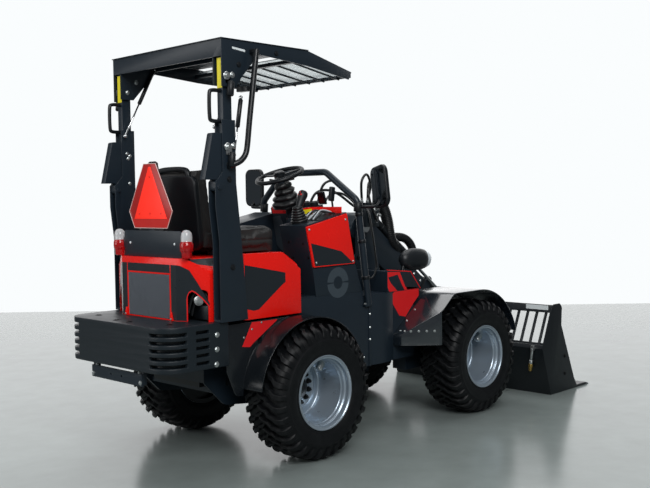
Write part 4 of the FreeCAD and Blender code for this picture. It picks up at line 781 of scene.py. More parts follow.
@dataclass
class Workshop:
    """Turns forms into finished pieces that ride on the frame's bodies."""

    frame: dict
    rear_x: float = 0.0
    trees: dict[str, bpy.types.NodeTree] = field(default_factory=dict)
    casts: dict[str, BVHTree] = field(default_factory=dict)
    made: int = 0
    weld: float = 0.00002
    flat_angle: float = 0.6
    voxel: float = 0.006
    pad_pressure: float = 4.0
    cloth_steps: int = 20

    def __post_init__(self) -> None:
        """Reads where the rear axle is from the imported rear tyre."""
        low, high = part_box("tyre_rear_right")
        self.rear_x = (low.x + high.x) / 2

    def tree(self, maker: Callable[[], bpy.types.NodeTree]) -> bpy.types.NodeTree:
        """The tree of a maker, built once."""
        if maker.__name__ not in self.trees:
            self.trees[maker.__name__] = maker()
        return self.trees[maker.__name__]

    def host(self, name: str, form: bmesh.types.BMesh) -> bpy.types.Object:
        """A linked object that holds the form."""
        mesh = bpy.data.meshes.new(name)
        form.to_mesh(mesh)
        form.free()
        return self.link(bpy.data.objects.new(name, mesh))

    @staticmethod
    def link(thing: bpy.types.Object) -> bpy.types.Object:
        """Puts an object in the scene."""
        bpy.context.scene.collection.objects.link(thing)
        return thing

    def freeze(self, thing: bpy.types.Object) -> bpy.types.Object:
        """Replaces an object's mesh with the result of its modifiers and removes them."""
        bpy.context.view_layer.update()
        graph = bpy.context.evaluated_depsgraph_get()
        mesh = bpy.data.meshes.new_from_object(thing.evaluated_get(graph))
        thing.modifiers.clear()
        thing.data = mesh
        return thing

    def settle(self, thing: bpy.types.Object, finish: Finish, body: str, smooth: float) -> bpy.types.Object:
        """Shades, dresses and hands a finished object to its body."""
        mesh = thing.data
        mesh.transform(Matrix.Translation((self.rear_x, 0, 0)))
        mesh.materials.clear()
        mesh.materials.append(finish.make())
        for polygon in mesh.polygons:
            polygon.material_index = 0
        mesh.shade_smooth()
        mesh.set_sharp_from_angle(angle=math.radians(smooth))
        if body:
            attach(thing, body)
        self.made += 1
        LOG.info("%s rides on %s", thing.name, body)
        return thing

    def piece(self, name: str, form: bmesh.types.BMesh, finish: Finish, body: str,
              smooth: float = 35.0) -> bpy.types.Object:
        """Makes a finished piece of a form.

        Args:
            name: the piece's name.
            form: its mesh, with x = 0 at the rear axle.
            finish: its surface.
            body: the body it rides on.
            smooth: the sharpest angle that is still shaded smooth, in degrees.
        """
        return self.settle(self.host(name, form), finish, body, smooth)

    def repeated(self, name: str, form: bmesh.types.BMesh, maker: Callable[[], bpy.types.NodeTree], finish: Finish,
                 body: str, offset: Point = (0, 0, 0), smooth: float = 35.0, **values: object) -> bpy.types.Object:
        """Makes a piece of many copies through one of Repeat's trees.

        Args:
            name: the piece's name.
            form: what is repeated, or the points or path that it is repeated on.
            maker: the method of Repeat that builds the tree.
            finish: the surface.
            body: the body it rides on.
            offset: where the tree's origin goes.
            smooth: the sharpest angle that is still shaded smooth.
            values: the tree's inputs, with _ for a space.
        """
        thing = self.host(name, form)
        self.run_tree(thing, maker, finish, values)
        thing.data.transform(Matrix.Translation(Vector(offset)))
        return self.settle(thing, finish, body, smooth)

    def run_tree(self, thing: bpy.types.Object, maker: Callable[[], bpy.types.NodeTree], finish: Finish,
                 values: dict[str, object]) -> None:
        """Gives an object one of Repeat's trees with its inputs, and keeps the result as its mesh."""
        tree = self.tree(maker)
        modifier = thing.modifiers.new("repeat", "NODES")
        modifier.node_group = tree
        sockets = {item.name: item.identifier for item in tree.interface.items_tree if item.item_type == "SOCKET"
                   and item.in_out == "INPUT"}
        modifier[sockets["Finish"]] = finish.make()
        for key, value in values.items():
            modifier[sockets[key.replace("_", " ")]] = value
        self.freeze(thing)

    def bolts(self, name: str, spots: Iterable[tuple[Point, Point]], finish: Finish, body: str,
              head: Head) -> bpy.types.Object:
        """Bolt heads at (place, facing) spots."""
        spots = list(spots)
        mesh = bpy.data.meshes.new(name)
        mesh.from_pydata([tuple(place) for place, _ in spots], [], [])
        facing = mesh.attributes.new("facing", "FLOAT_VECTOR", "POINT")
        facing.data.foreach_set("vector", [c for _, way in spots for c in way])
        thing = self.link(bpy.data.objects.new(name, mesh))
        self.run_tree(thing, Repeat.bolts, finish, {"Head_radius": head.radius, "Head_height": head.height,
                                                    "Washer_radius": head.washer, "Sides": head.sides})
        return self.settle(thing, finish, body, 30.0)

    def packed(self, node: str) -> bmesh.types.BMesh:
        """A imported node's mesh with its faces joined at their common corners."""
        form = bmesh.new()
        form.from_mesh(self.frame["nodes"][node].data)
        bmesh.ops.remove_doubles(form, verts=form.verts, dist=self.weld)
        return form

    def eased(self, node: str, body: str, width: float) -> None:
        """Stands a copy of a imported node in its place, with its sharp edges rounded.

        Args:
            node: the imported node.
            body: the body that carries it.
            width: the rounding, in metres.
        """
        form = self.packed(node)
        bmesh.ops.dissolve_limit(form, angle_limit=math.radians(self.flat_angle), verts=form.verts, edges=form.edges)
        Form.soften(form, width, 2)
        bmesh.ops.translate(form, verts=form.verts, vec=(-self.rear_x, 0, 0))
        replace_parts(self.piece(f"{node}_eased", form, NODE_FINISH[node], body, 40), node)

    def hit(self, node: str, start: Point, way: Point) -> Optional[tuple[Vector, Vector]]:
        """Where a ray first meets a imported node.

        Args:
            node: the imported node.
            start: the ray's start, with x = 0 at the rear axle.
            way: the ray's direction.

        Returns:
            The place and the surface's direction there, or None where the ray passes by.
        """
        if node not in self.casts:
            mesh = self.frame["nodes"][node].data
            self.casts[node] = BVHTree.FromPolygons([v.co for v in mesh.vertices], [tuple(p.vertices)
                                                                                    for p in mesh.polygons])
        shift = Vector((self.rear_x, 0, 0))
        place, normal, _, _ = self.casts[node].ray_cast(Vector(start) + shift, Vector(way).normalized())
        return None if place is None else (place - shift, normal)

    def bolts_on(self, name: str, node: str, rays: Iterable[tuple[Point, Point]], finish: Finish, body: str,
                 head: Head) -> None:
        """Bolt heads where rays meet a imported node; a ray that passes by gives none."""
        spots = [found for found in (self.hit(node, start, way) for start, way in rays) if found]
        if spots:
            self.bolts(name, spots, finish, body, head)

    def swell(self, thing: bpy.types.Object, cap: float) -> None:
        """Blows up a closed cloth skin a little and keeps the result.

        Args:
            thing: the pad.
            cap: the farthest that a point may move, in metres.
        """
        start = [v.co.copy() for v in thing.data.vertices]
        cloth = thing.modifiers.new("swell", "CLOTH")
        cloth.settings.use_pressure = True
        cloth.settings.uniform_pressure_force = self.pad_pressure
        cloth.settings.effector_weights.gravity = 0
        cloth.point_cache.frame_end = self.cloth_steps
        scene = bpy.context.scene
        for step in range(1, self.cloth_steps + 1):
            scene.frame_set(step)
        blown = thing.evaluated_get(bpy.context.evaluated_depsgraph_get()).data
        ends = [v.co.copy() for v in blown.vertices]
        thing.modifiers.clear()
        for vert, old, new in zip(thing.data.vertices, start, ends):
            move = new - old
            vert.co = old + move * min(1.0, cap / max(move.length, 1e-9))
        scene.frame_set(1)

    def pad(self, node: str, body: str, shrink: float, cap: float, sew: Callable[[Vector, Vector],
                                                                                 Vector]) -> bpy.types.Object:
        """Makes a padded cushion from a packed soft node's shape.

        Args:
            node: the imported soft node.
            body: the body that carries it.
            shrink: how far the skin is drawn in before it swells.
            cap: the farthest that it may swell.
            sew: gives the move of a point from its place and direction, for seams and channels.
        """
        form = self.packed(node)
        bmesh.ops.recalc_face_normals(form, faces=form.faces)
        bmesh.ops.translate(form, verts=form.verts, vec=(-self.rear_x, 0, 0))
        thing = self.host(f"{node}_pad", form)
        remesh = thing.modifiers.new("skin", "REMESH")
        remesh.mode = "VOXEL"
        remesh.voxel_size = self.voxel
        self.freeze(thing)
        for vert, normal in [(v, v.normal.copy()) for v in thing.data.vertices]:
            vert.co -= normal * shrink
        self.swell(thing, cap)
        thing.data.update()
        moves = [sew(v.co.copy(), v.normal.copy()) for v in thing.data.vertices]
        for vert, move in zip(thing.data.vertices, moves):
            vert.co += move
        smooth = thing.modifiers.new("smooth", "SUBSURF")
        smooth.levels = smooth.render_levels = 1
        self.freeze(thing)
        self.settle(thing, NODE_FINISH[node], body, 70.0)
        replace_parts(thing, node)
        return thing

    def bridge(self, name: str, form: bmesh.types.BMesh, finish: Finish, bodies: tuple[str, str], start: Point,
               end: Point) -> bpy.types.Object:
        """Makes a piece that rides on no body, with its place baked into its mesh."""
        thing = self.settle(self.host(name, form), finish, "", 40.0)
        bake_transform(thing)
        return thing


# ---------------------------------------------------------------- sub-assemblies

@dataclass
class Wheels:
    """Four tyres with zigzag traction lugs on lacquered rims, with nuts, hub caps and valve cups."""

    shop: Workshop
    centre_z: float = 0.38
    track: float = 0.535
    wheel_base: float = 1.54
    outer: float = 0.38
    carcass: float = 0.356
    lugs: int = 34
    nut_circle: float = 0.0915
    nuts: int = 12
    disc: float = 0.4423
    cap_y: float = 0.4605
    cup_out: float = 0.1275
    lug_flare: float = 0.004
    lug_taper: float = 0.0015
    lug_ease: float = 0.002
    eased_above: float = 0.3255

    def carcass_form(self) -> bmesh.types.BMesh:
        """The tyre's body without its lugs: bead, side wall with its ribs, shoulder and tread base."""
        half = [
            (0.196, 0.128), (0.206, 0.131), (0.212, 0.1365), (0.215, 0.14), (0.22, 0.1415),
            (0.224, 0.14), (0.228, 0.1425), (0.248, 0.1475), (0.27, 0.149), (0.286, 0.1487),
            (0.2885, 0.15), (0.2925, 0.15), (0.295, 0.1482), (0.312, 0.1445), (0.328, 0.1385),
            (0.34, 0.131), (0.349, 0.12), (0.354, 0.105), (0.3555, 0.08), (self.carcass, 0.04),
        ]
        profile = [(r, -t) for r, t in half] + [(self.carcass + 0.0005, 0.0)] + [(r, t) for r, t in reversed(half)]
        return Form.lathe(profile, 120, closed=True)

    def lug_form(self) -> bmesh.types.BMesh:
        """One lug of each side: a zigzag bar from the middle of the tread over the shoulder."""
        # across, round, width round the tyre, base radius, top radius
        stations = [
            (-0.014, 0.04, 0.016, 0.352, 0.3795),
            (0.016, 0.02, 0.019, 0.352, 0.38),
            (0.04, 0.014, 0.021, 0.352, 0.3798),
            (0.058, -0.01, 0.022, 0.352, 0.3795),
            (0.084, -0.017, 0.026, 0.35, 0.378),
            (0.104, -0.037, 0.031, 0.345, 0.3745),
            (0.126, -0.043, 0.033, 0.337, 0.3655),
            (0.143, -0.045, 0.032, 0.322, 0.348),
            (0.1492, -0.045, 0.028, 0.308, 0.326),
        ]
        form = bmesh.new()
        pitch = math.tau / self.lugs
        for side, shift in ((1, 0.0), (-1, pitch / 2)):
            rings = []
            for across, round_, width, base, top in stations:
                ring = []
                for radius, half in ((base, width / 2 + self.lug_flare), (top, width / 2 - self.lug_taper)):
                    for way in (-1, 1) if radius == base else (1, -1):
                        angle = (round_ + way * half) / self.outer + shift
                        ring.append(form.verts.new((radius * math.sin(angle), side * across, radius * math.cos(angle))))
                rings.append(ring)
            for lower, upper in zip(rings, rings[1:]):
                for i in range(4):
                    j = (i + 1) % 4
                    form.faces.new((lower[i], lower[j], upper[j], upper[i]))
            form.faces.new(rings[0])
            form.faces.new(reversed(rings[-1]))
        bmesh.ops.recalc_face_normals(form, faces=form.faces)
        tops = [e for e in form.edges if all(v.co.xz.length > self.eased_above for v in e.verts)
                and len(e.link_faces) == 2 and e.calc_face_angle(0) > math.radians(50)]
        bmesh.ops.bevel(form, geom=tops, offset=self.lug_ease, segments=1, affect="EDGES", clamp_overlap=True)
        return form

    def rim_form(self) -> bmesh.types.BMesh:
        """The rim: a lip with its groove and steps, a straight barrel and the bored disc."""
        disc = self.disc - 0.0003 - self.track
        profile = [
            (0.2095, 0.136), (0.2085, 0.139), (0.2055, 0.14), (0.2025, 0.1388), (0.1995, 0.132),
            (0.1965, 0.1295), (0.1935, 0.1285), (0.1915, 0.125), (0.1895, 0.113), (0.187, 0.108),
            (0.184, 0.107), (0.182, 0.104), (0.18, 0.09), (0.178, 0.086), (0.176, 0.0845),
            (0.1752, 0.079), (0.1748, disc + 0.01), (0.171, disc + 0.003), (0.164, disc), (0.132, disc),
            (0.124, disc + 0.004), (0.116, disc),
            (0.0605, disc), (0.0605, disc - 0.011), (0.1836, disc - 0.011), (0.1836, -0.134),
            (0.19, -0.137), (0.2055, -0.14), (0.2095, -0.137), (0.2095, -0.134), (0.2, -0.133),
            (0.1905, -0.132), (0.19, -0.128), (0.19, 0.128), (0.1905, 0.132), (0.2, 0.133),
            (0.206, 0.1345),
        ]
        return Form.lathe(profile, 96, closed=True)

    @staticmethod
    def painted_shade_and_dirt_form() -> bmesh.types.BMesh:
        """The dark skin over the rim's inboard side, its flange, barrel and the disc's back: painted shade there, with
        dirt.
        """
        flange, barrel, bore, skin = 0.2095, 0.183, 0.062, 0.0012
        edge, back = -0.1405, -0.1046
        return Form.lathe([(flange, edge), (barrel, edge), (barrel, back), (bore, back), (bore, -0.1058),
                           (0.1818, -0.1058), (0.1818, edge - skin), (flange, edge - skin)], 72, closed=True)

    def build(self) -> None:
        """Makes and mounts the four wheels."""
        for row, x, cup in (("rear", 0.0, 38), ("front", self.wheel_base, 50)):
            for side, sign in HANDS:
                body, tag = f"wheel_{row}_{side}", f"{row}_{side}"
                centre = Vector((x, sign * self.track, self.centre_z))
                way = Vector((0, sign, 0))
                tyre = self.shop.piece(f"carcass_{tag}", Form.place(self.carcass_form(), centre), TREAD, body, 40)
                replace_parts(tyre, f"tyre_{tag}")
                self.shop.repeated(f"lugs_{tag}", self.lug_form(), Repeat.ring, TREAD, body, centre, Count=self.lugs,
                                   Step=math.tau / self.lugs)
                rim = self.shop.piece(f"rim_lacquered_{tag}", Form.along(self.rim_form(), centre, way), RIM_SILVER,
                                      body, 50)
                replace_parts(rim, f"rim_{tag}")
                # A dark skin over the rim's inboard side: painted shade, with dirt.
                self.shop.piece(f"rim_inner_painted_shade_and_dirt_{tag}", Form.along(self.painted_shade_and_dirt_form(), centre, way), BLACK_STEEL, body,
                                50)
                self.hub_parts(body, tag, x, sign, math.radians(cup))

    def hub_parts(self, body: str, tag: str, x: float, sign: int, cup_angle: float) -> None:
        """Wheel nuts with their studs, the hub cap, and the valve cup on the barrel."""
        way = (0, sign, 0)
        ring = [math.tau * (i + 0.5) / self.nuts for i in range(self.nuts)]
        spots = [((x + self.nut_circle * math.cos(a), sign * self.disc, self.centre_z + self.nut_circle * math.sin(a)),
                  way) for a in ring]
        self.shop.bolts(f"wheel_nuts_{tag}", spots, NUT_BLACK, body, Head(0.0125, 0.016, 0.0165))
        self.shop.bolts(f"wheel_studs_{tag}", spots, NUT_BLACK, body, Head(0.0062, 0.024, 0.007, 14))
        cap = Form.lathe([(0, 0), (0.046, 0), (0.0575, 0.0005), (0.0575, 0.006), (0.052, 0.0105), (0.03, 0.013),
                          (0.0, 0.0135)], 40)
        cap = Form.along(cap, (x, sign * self.cap_y, self.centre_z), way)
        self.shop.piece(f"hub_cap_{tag}", cap, BLACK_STEEL, body)
        out = Vector((math.sin(cup_angle), 0, math.cos(cup_angle)))
        cup = Form.lathe([(0.0, 0.0), (0.019, 0.0), (0.0215, 0.003), (0.0225, 0.012), (0.0225, 0.048), (0.0205, 0.05),
                          (0.0185, 0.047), (0.018, 0.012), (0.0, 0.01)], 28)
        centre = Vector((x, sign * self.track, self.centre_z))
        self.shop.piece(f"valve_cup_{tag}", Form.along(cup, centre + out * self.cup_out, out), ZINC, body)


@dataclass
class Bodywork:
    """Films, fasteners, grille and trims on the hood, side panels, console and fenders."""

    shop: Workshop
    panel_y: float = 0.4483
    pod_y: float = 0.4253
    hood_x: float = -0.69
    skin: float = 0.0004

    def film(self, name: str, outline: Sequence[Point], y: float, finish: Finish) -> None:
        """A thin film on both flanks at +-y, standing proud by its thickness."""
        form = Form.prism(outline, -y - self.skin, -y - FILM_GAP, Plane.XZ)
        self.shop.piece(name, Form.both(form), finish, REAR)

    def rear_film(self, name: str, outline: Sequence[Point], x: float, finish: Finish, twin: bool = False) -> None:
        """A thin film on the machine's rear face, or one on each side of the middle."""
        form = Form.prism(outline, x - self.skin, x - FILM_GAP, Plane.YZ)
        self.shop.piece(name, Form.both(form) if twin else form, finish, REAR)

    def slanted(self, name: str, outline: Sequence[Point], start: Point, end: Point, rise: Point,
                finish: Finish) -> None:
        """A thin film on both sides, on a plane through start and end that goes up along rise.

        Args:
            name: the piece's name.
            outline: points of (metres from start towards end, share of rise).
            start: the plane's first point.
            end: a point that gives the first direction.
            rise: the whole second direction.
            finish: the film.
        """
        start, rise = Vector(start), Vector(rise)
        along = (Vector(end) - start).normalized()
        out = along.cross(rise).normalized()
        if out.y > 0:
            out = -out
        form = Form.prism(outline, FILM_GAP, self.skin, Plane.XZ)
        for vert in form.verts:
            u, lift, v = vert.co
            vert.co = start + along * u + rise * v + out * lift
        bmesh.ops.recalc_face_normals(form, faces=form.faces)
        self.shop.piece(name, Form.both(form), finish, REAR)

    def grille(self) -> None:
        """Fine upright wires over a dark plate in the hood's mouth."""
        x = self.hood_x
        plate = Form.block((x + 0.0012, -0.189, 0.8225), (x + 0.0035, 0.189, 1.0585), 0.0004)
        thing = self.shop.piece("grille_plate", plate, GRILLE_BACK, REAR)
        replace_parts(thing, "radiator_grille")
        wire = Form.block((x - 0.003, -0.1865, 0.8235), (x + 0.0012, -0.1831, 1.0575), 0.0006, 1)
        self.shop.repeated("grille_wires", wire, Repeat.row, GRILLE_GREY, REAR, Count=47, Offset=(0.0, 0.00804, 0.0))

    def hood(self) -> None:
        """The black films round the grille, over the corners and on the shoulders, and the tabs."""
        x = self.hood_x
        self.rear_film("grille_band", Form.rect(-0.196, 1.068, 0.196, 1.113), x, DECAL_DARK)
        self.rear_film("grille_side_bands", Form.rect(-0.25, 0.818, -0.203, 1.113), x, DECAL_DARK, True)
        corner = [(0, 1.113), (0.025, 1.109), (0.077, 1.086), (0.122, 1.021), (0.19, 0.915), (0.19, 0.9), (0.15, 0.942),
                  (0.112, 0.972), (0.09, 0.982), (0.072, 0.972), (0.06, 0.95), (0.057, 0.925), (0.057, 0.818),
                  (0, 0.818)]
        chamfer = ((x, -0.25, 0), (-0.6, -0.42, 0), (0, 0, 1))
        self.slanted("hood_corner_film", corner, *chamfer, DECAL_DARK)
        window = corner[5:13]
        inner = [(0.062, 0.818), (0.062, 0.923), (0.065, 0.947), (0.074, 0.966), (0.09, 0.975), (0.109, 0.966),
                 (0.147, 0.936), (0.187, 0.894)]
        self.slanted("hood_window_edge", window + inner, *chamfer, DECAL_RED)
        self.slanted("hood_shoulder_film", [(-0.005, 0.93), (0.03, 0.55), (0.215, 0.1), (0.215, 0.93)],
                     (-0.655, -0.42, 1.08), (-0.4, -0.42, 1.08), (0, 0.12, 0.067), DECAL_DARK)
        tab = Form.prism([(-0.222, 0.816), (-0.2, 0.816), (-0.202, 0.858), (-0.209, 0.862)], x - 0.01, x - 0.0005,
                         Plane.YZ, 0.001)
        self.shop.piece("grille_tabs", Form.both(tab), RED_PAINT, REAR)
        self.shop.bolts("grille_tab_bolts", [((x - 0.01, s * 0.211, 0.824), (-1, 0, 0)) for s in SIDES], ZINC, REAR,
                        Head(0.005, 0.004, 0.0062))

    def machinery(self) -> None:
        """What shows through the windows in the hood's rear corners."""
        for side, sign in HANDS:
            cap = Form.lathe([(0, 0), (0.02, 0), (0.022, 0.003), (0.022, 0.02), (0.026, 0.022), (0.026, 0.03),
                              (0.016, 0.033), (0, 0.034)], 28)
            cap = Form.along(cap, (-0.598, sign * 0.34, 0.925), (-0.88, sign * 0.47, 0))
            self.shop.piece(f"filler_cap_{side}", cap, ZINC, REAR)
            box = Form.merge(
                Form.block((-0.6, sign * 0.28, 0.822),
                           (-0.5, sign * 0.4, 0.9), 0.006),
                Form.block((-0.56, sign * 0.22, 0.88),
                           (-0.48, sign * 0.3, 0.99), 0.008))
            self.shop.piece(f"engine_bay_{side}", box, BLACK_STEEL, REAR)
            for number, (low, high) in enumerate(((0.858, 0.972), (0.842, 0.95))):
                shift = number * 0.022
                line = [(-0.64 + shift, sign * 0.285, low), (-0.625 + shift, sign * 0.3, high),
                        (-0.58 + shift, sign * 0.35, high + 0.01), (-0.56 + shift, sign * 0.385, low + 0.02),
                        (-0.54 + shift, sign * 0.39, 0.83)]
                self.shop.piece(f"bay_hose_{side}_{number}", Form.pipe(line, 0.008, 12), HOSE, REAR)

    def fasteners(self) -> None:
        """Panel screws, fender rivets, counterweight and tow plate bolts."""
        shop = self.shop
        spots = flank_rays(((0.134, 1.275), (0.444, 1.327), (0.189, 1.08), (0.508, 1.072)), self.pod_y + 0.0004, True)
        shop.bolts("console_panel_screws", spots, ZINC, REAR, Head(0.006, 0.0035, 0.0078, 14))
        rays = forward_rays(-0.2, ((0.377, 1.194), (0.402, 1.112), (0.276, 1.11), (0.258, 1.202)))
        shop.bolts_on("pod_screws", "console", rays, NUT_BLACK, REAR, Head(0.006, 0.003, 0.0075, 14))
        rays = flank_rays(((-0.599, 0.753), (-0.601, 0.677), (-0.606, 0.599)), 0.8)
        shop.bolts_on("counterweight_bolts", "counterweight", rays, ZINC, REAR, Head(0.0115, 0.008, 0.015))
        rays = forward_rays(-1.2, ((0.2, 0.563), (0.222, 0.516)))
        shop.bolts_on("tow_bolts", "tow_plate", rays, ZINC, REAR, Head(0.0085, 0.006, 0.012))
        rays = flank_rays(((-0.399, 0.712), (-0.34, 0.752), (-0.271, 0.782), (-0.19, 0.8), (-0.06, 0.8)))
        shop.bolts_on("fender_rivets", "rear_fenders", rays, ZINC, REAR, Head(0.0045, 0.003, 0.0065, 14))
        rays = flank_rays(((0.652, 0.735), (0.652, 0.652), (0.652, 0.577))) + flank_rays(((0.6, 0.47),))
        shop.bolts_on("side_plate_bolts", "side_plates", rays, ZINC, REAR, Head(0.006, 0.004, 0.008))
        rays = [((x, s * y, 1.4), (0, 0, -1)) for s in SIDES for x, y in ((-0.86, 0.06), (-0.8, 0.33))]
        shop.bolts_on("counterweight_top_bolts", "counterweight", rays, NUT_BLACK, REAR, Head(0.014, 0.003, 0.02))

    def fender_mark(self) -> None:
        """The plain red mark on the rear skirts."""
        self.film("fender_mark", [(-0.413, 0.664), (-0.341, 0.7895), (-0.148, 0.7875), (-0.335, 0.674),
                                  (-0.357, 0.657)], 0.4503, DECAL_RED)

    def ring(self) -> None:
        """The flat grey ring on the lower console skin."""
        arcs = []
        for sign in SIDES:
            turn = [math.radians(sign * (4 + 172 * i / 32)) for i in range(33)]
            line = [(r * math.cos(a), r * math.sin(a)) for r, way in ((0.092, turn), (0.038, turn[::-1])) for a in way]
            arcs.append(Form.prism([(0.376 + x, 0.951 + z) for x, z in line], -0.42055, -0.42005, Plane.XZ))
        self.shop.piece("console_ring", Form.both(Form.merge(*arcs)), DECAL_GREY, REAR)

    def build(self) -> None:
        """Makes the films, the grille and the fasteners."""
        self.film("hood_side_film", [(-0.3835, 1.103), (-0.083, 1.043), (-0.083, 0.99), (-0.1, 0.982), (-0.285, 0.855),
                                     (-0.32, 0.85), (-0.3835, 0.866)], self.panel_y, DECAL_DARK)
        self.film("console_side_film", [(0.147, 1.196), (0.403, 1.138), (0.508, 1.062), (0.179, 1.06)], self.pod_y,
                  DECAL_DARK)
        self.grille()
        self.hood()
        self.machinery()
        self.fender_mark()
        self.ring()
        self.fasteners()


@dataclass
class RearSigns:
    """Tail lamps, the slow-vehicle triangle and the bracket's rivets."""

    shop: Workshop
    lamp_x: float = -0.662
    lamp_y: float = 0.31
    lamp_z: float = 1.148

    def build(self) -> None:
        """Makes the lamps and the triangle."""
        shop = self.shop
        lamps = []
        for sign in SIDES:
            lamp = Form.lathe([(0, 0), (0.021, 0), (0.0265, 0.003), (0.0275, 0.03), (0.03, 0.037), (0.035, 0.041),
                               (0.0365, 0.06), (0.0355, 0.078), (0.031, 0.086), (0.03, 0.088), (0.03, 0.116),
                               (0.0265, 0.136), (0.016, 0.148), (0, 0.152)], 40)
            lamps.append(Form.along(lamp, (self.lamp_x, sign * self.lamp_y, self.lamp_z), (0, 0, 1)))
        thing = shop.piece("tail_lamp_lenses", Form.merge(*lamps), LAMP_BODY, REAR, 50)
        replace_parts(thing, "tail_lights")
        self.triangle()
        shop.piece("sign_backing", Form.block((-0.6615, -0.11, 1.282), (-0.6565, 0.11, 1.335), 0.001), BLACK_STEEL,
                   REAR)
        shop.bolts_on("bracket_rivets", "light_bracket", forward_rays(-1.0, ((0.205, 1.222),)), DECAL_WHITE, REAR,
                      Head(0.006, 0.002, 0.007, 16))

    def triangle(self) -> None:
        """The sign: a red border sheet, brighter at its foot, and the fluorescent field."""
        shop = self.shop
        corners = [(-0.199, 1.398), (-0.151, 1.306), (0.151, 1.306), (0.199, 1.398), (0.055, 1.657), (-0.055, 1.657)]
        sheet = Form.prism(corners, -0.667, -0.6625, Plane.YZ, 0.0012)
        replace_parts(shop.piece("sign_border", sheet, SIGN_RED, "rear_frame"), "warning_triangle")
        foot = Form.prism([(-0.176, 1.354), (-0.149, 1.309), (0.149, 1.309), (0.176, 1.354)], -0.6676, -0.6669,
                          Plane.YZ)
        shop.piece("sign_foot", foot, SIGN_FOOT, REAR)
        field_form = Form.prism([(-0.151, 1.356), (0.151, 1.356), (0.008, 1.64), (-0.008, 1.64)], -0.669, -0.6668,
                                Plane.YZ, 0.0008)
        shop.piece("sign_field", field_form, SIGN_ORANGE, REAR)
        edge = []
        for a, b in zip(corners, corners[1:] + corners[:1]):
            edge.append(Form.rod((-0.6668, *a), (-0.6668, *b), 0.0018, 8, 0.0))
        shop.piece("sign_edge", Form.merge(*edge), SIGN_EDGE, REAR)
        spots = [((-0.669, y, z), (-1, 0, 0)) for y, z in ((0, 1.585), (0, 1.385), (-0.1, 1.385), (0.1, 1.385))]
        shop.bolts("sign_rivets", spots, SIGN_FOOT, REAR, Head(0.004, 0.0015, 0.005, 14))


@dataclass
class Seat:
    """The seat: cushion with bolsters, back with its shell and loop, and the raised arm rest."""

    shop: Workshop

    @staticmethod
    def groove(offset: float, depth: float, width: float) -> float:
        """How deep a soft groove is at an offset from its middle."""
        return depth * math.exp(-((offset / width) ** 2))

    @staticmethod
    def cushion_seams(place: Vector, normal: Vector) -> Vector:
        """Draws in the channels between the bolsters and the middle, and the cross channels."""
        depth = 0.0
        if normal.z > 0.3:
            depth += Seat.groove(abs(place.y) - 0.16, 0.007, 0.007)
            for x in (-0.27, -0.15, -0.03):
                if abs(place.y) < 0.158:
                    depth += Seat.groove(place.x - x, 0.005, 0.007)
        depth += Seat.groove(place.z - 1.222, 0.006, 0.006)
        return normal * -depth

    @staticmethod
    def back_seams(place: Vector, normal: Vector) -> Vector:
        """Draws in the back's side channels and its cross channels."""
        depth = 0.0
        if normal.x > 0.3:
            depth += Seat.groove(abs(place.y) - 0.15, 0.006, 0.007)
            for z in (1.33, 1.45, 1.56):
                depth += Seat.groove(place.z - z, 0.004, 0.007)
        return normal * -depth

    @staticmethod
    def rest_seam(place: Vector, normal: Vector) -> Vector:
        """Draws in the seam round the arm rest."""
        return normal * -Seat.groove(place.y - 0.261, 0.003, 0.005)

    def build(self) -> None:
        """Makes the pads, the shell and the small steel parts below."""
        shop = self.shop
        shop.pad("seat_cushion", REAR, 0.006, 0.01, self.cushion_seams)
        shop.pad("seat_back", REAR, 0.008, 0.008, self.back_seams)
        shop.pad("arm_rest", REAR, 0.005, 0.006, self.rest_seam)
        outline = Form.rounded(0.226, 0.205, 0.06)
        shell = Form.prism([(y, z + 1.385) for y, z in outline], -0.531, -0.498, Plane.YZ, 0.012, 4)
        for vert in shell.verts:
            vert.co.x += 0.03 * max(0.0, 1.4 - vert.co.z) / 0.2 - 0.004 * (vert.co.y / 0.226) ** 2
        shop.piece("seat_shell", shell, BLACK_PLASTIC, REAR, 50)
        loop = [(-0.512, -0.15, 1.53), (-0.518, -0.152, 1.6), (-0.512, -0.12, 1.624), (-0.512, 0.0, 1.628),
                (-0.512, 0.12, 1.624), (-0.518, 0.152, 1.6), (-0.512, 0.15, 1.53)]
        shop.piece("seat_loop", Form.pipe(loop, 0.016, 16), BLACK_PLASTIC, REAR, 60)
        rail = Form.block((-0.4, 0.155, 1.1475), (0.02, 0.185, 1.175), 0.004)
        shop.piece("seat_rails", Form.both(rail), BLACK_STEEL, REAR)
        lever = Form.pipe([(-0.02, -0.1, 1.165), (0.045, -0.1, 1.165), (0.06, 0.0, 1.165), (0.045, 0.1, 1.165),
                           (-0.02, 0.1, 1.165)], 0.005, 12)
        shop.piece("seat_slide_bar", lever, BLACK_STEEL, REAR)
        buckle = Form.merge(Form.rod((-0.4, -0.245, 1.19), (-0.385, -0.262, 1.24), 0.007, 12),
                            Form.block((-0.405, -0.276, 1.235), (-0.365, -0.254, 1.29), 0.006))
        shop.piece("belt_buckle", buckle, BLACK_PLASTIC, REAR)


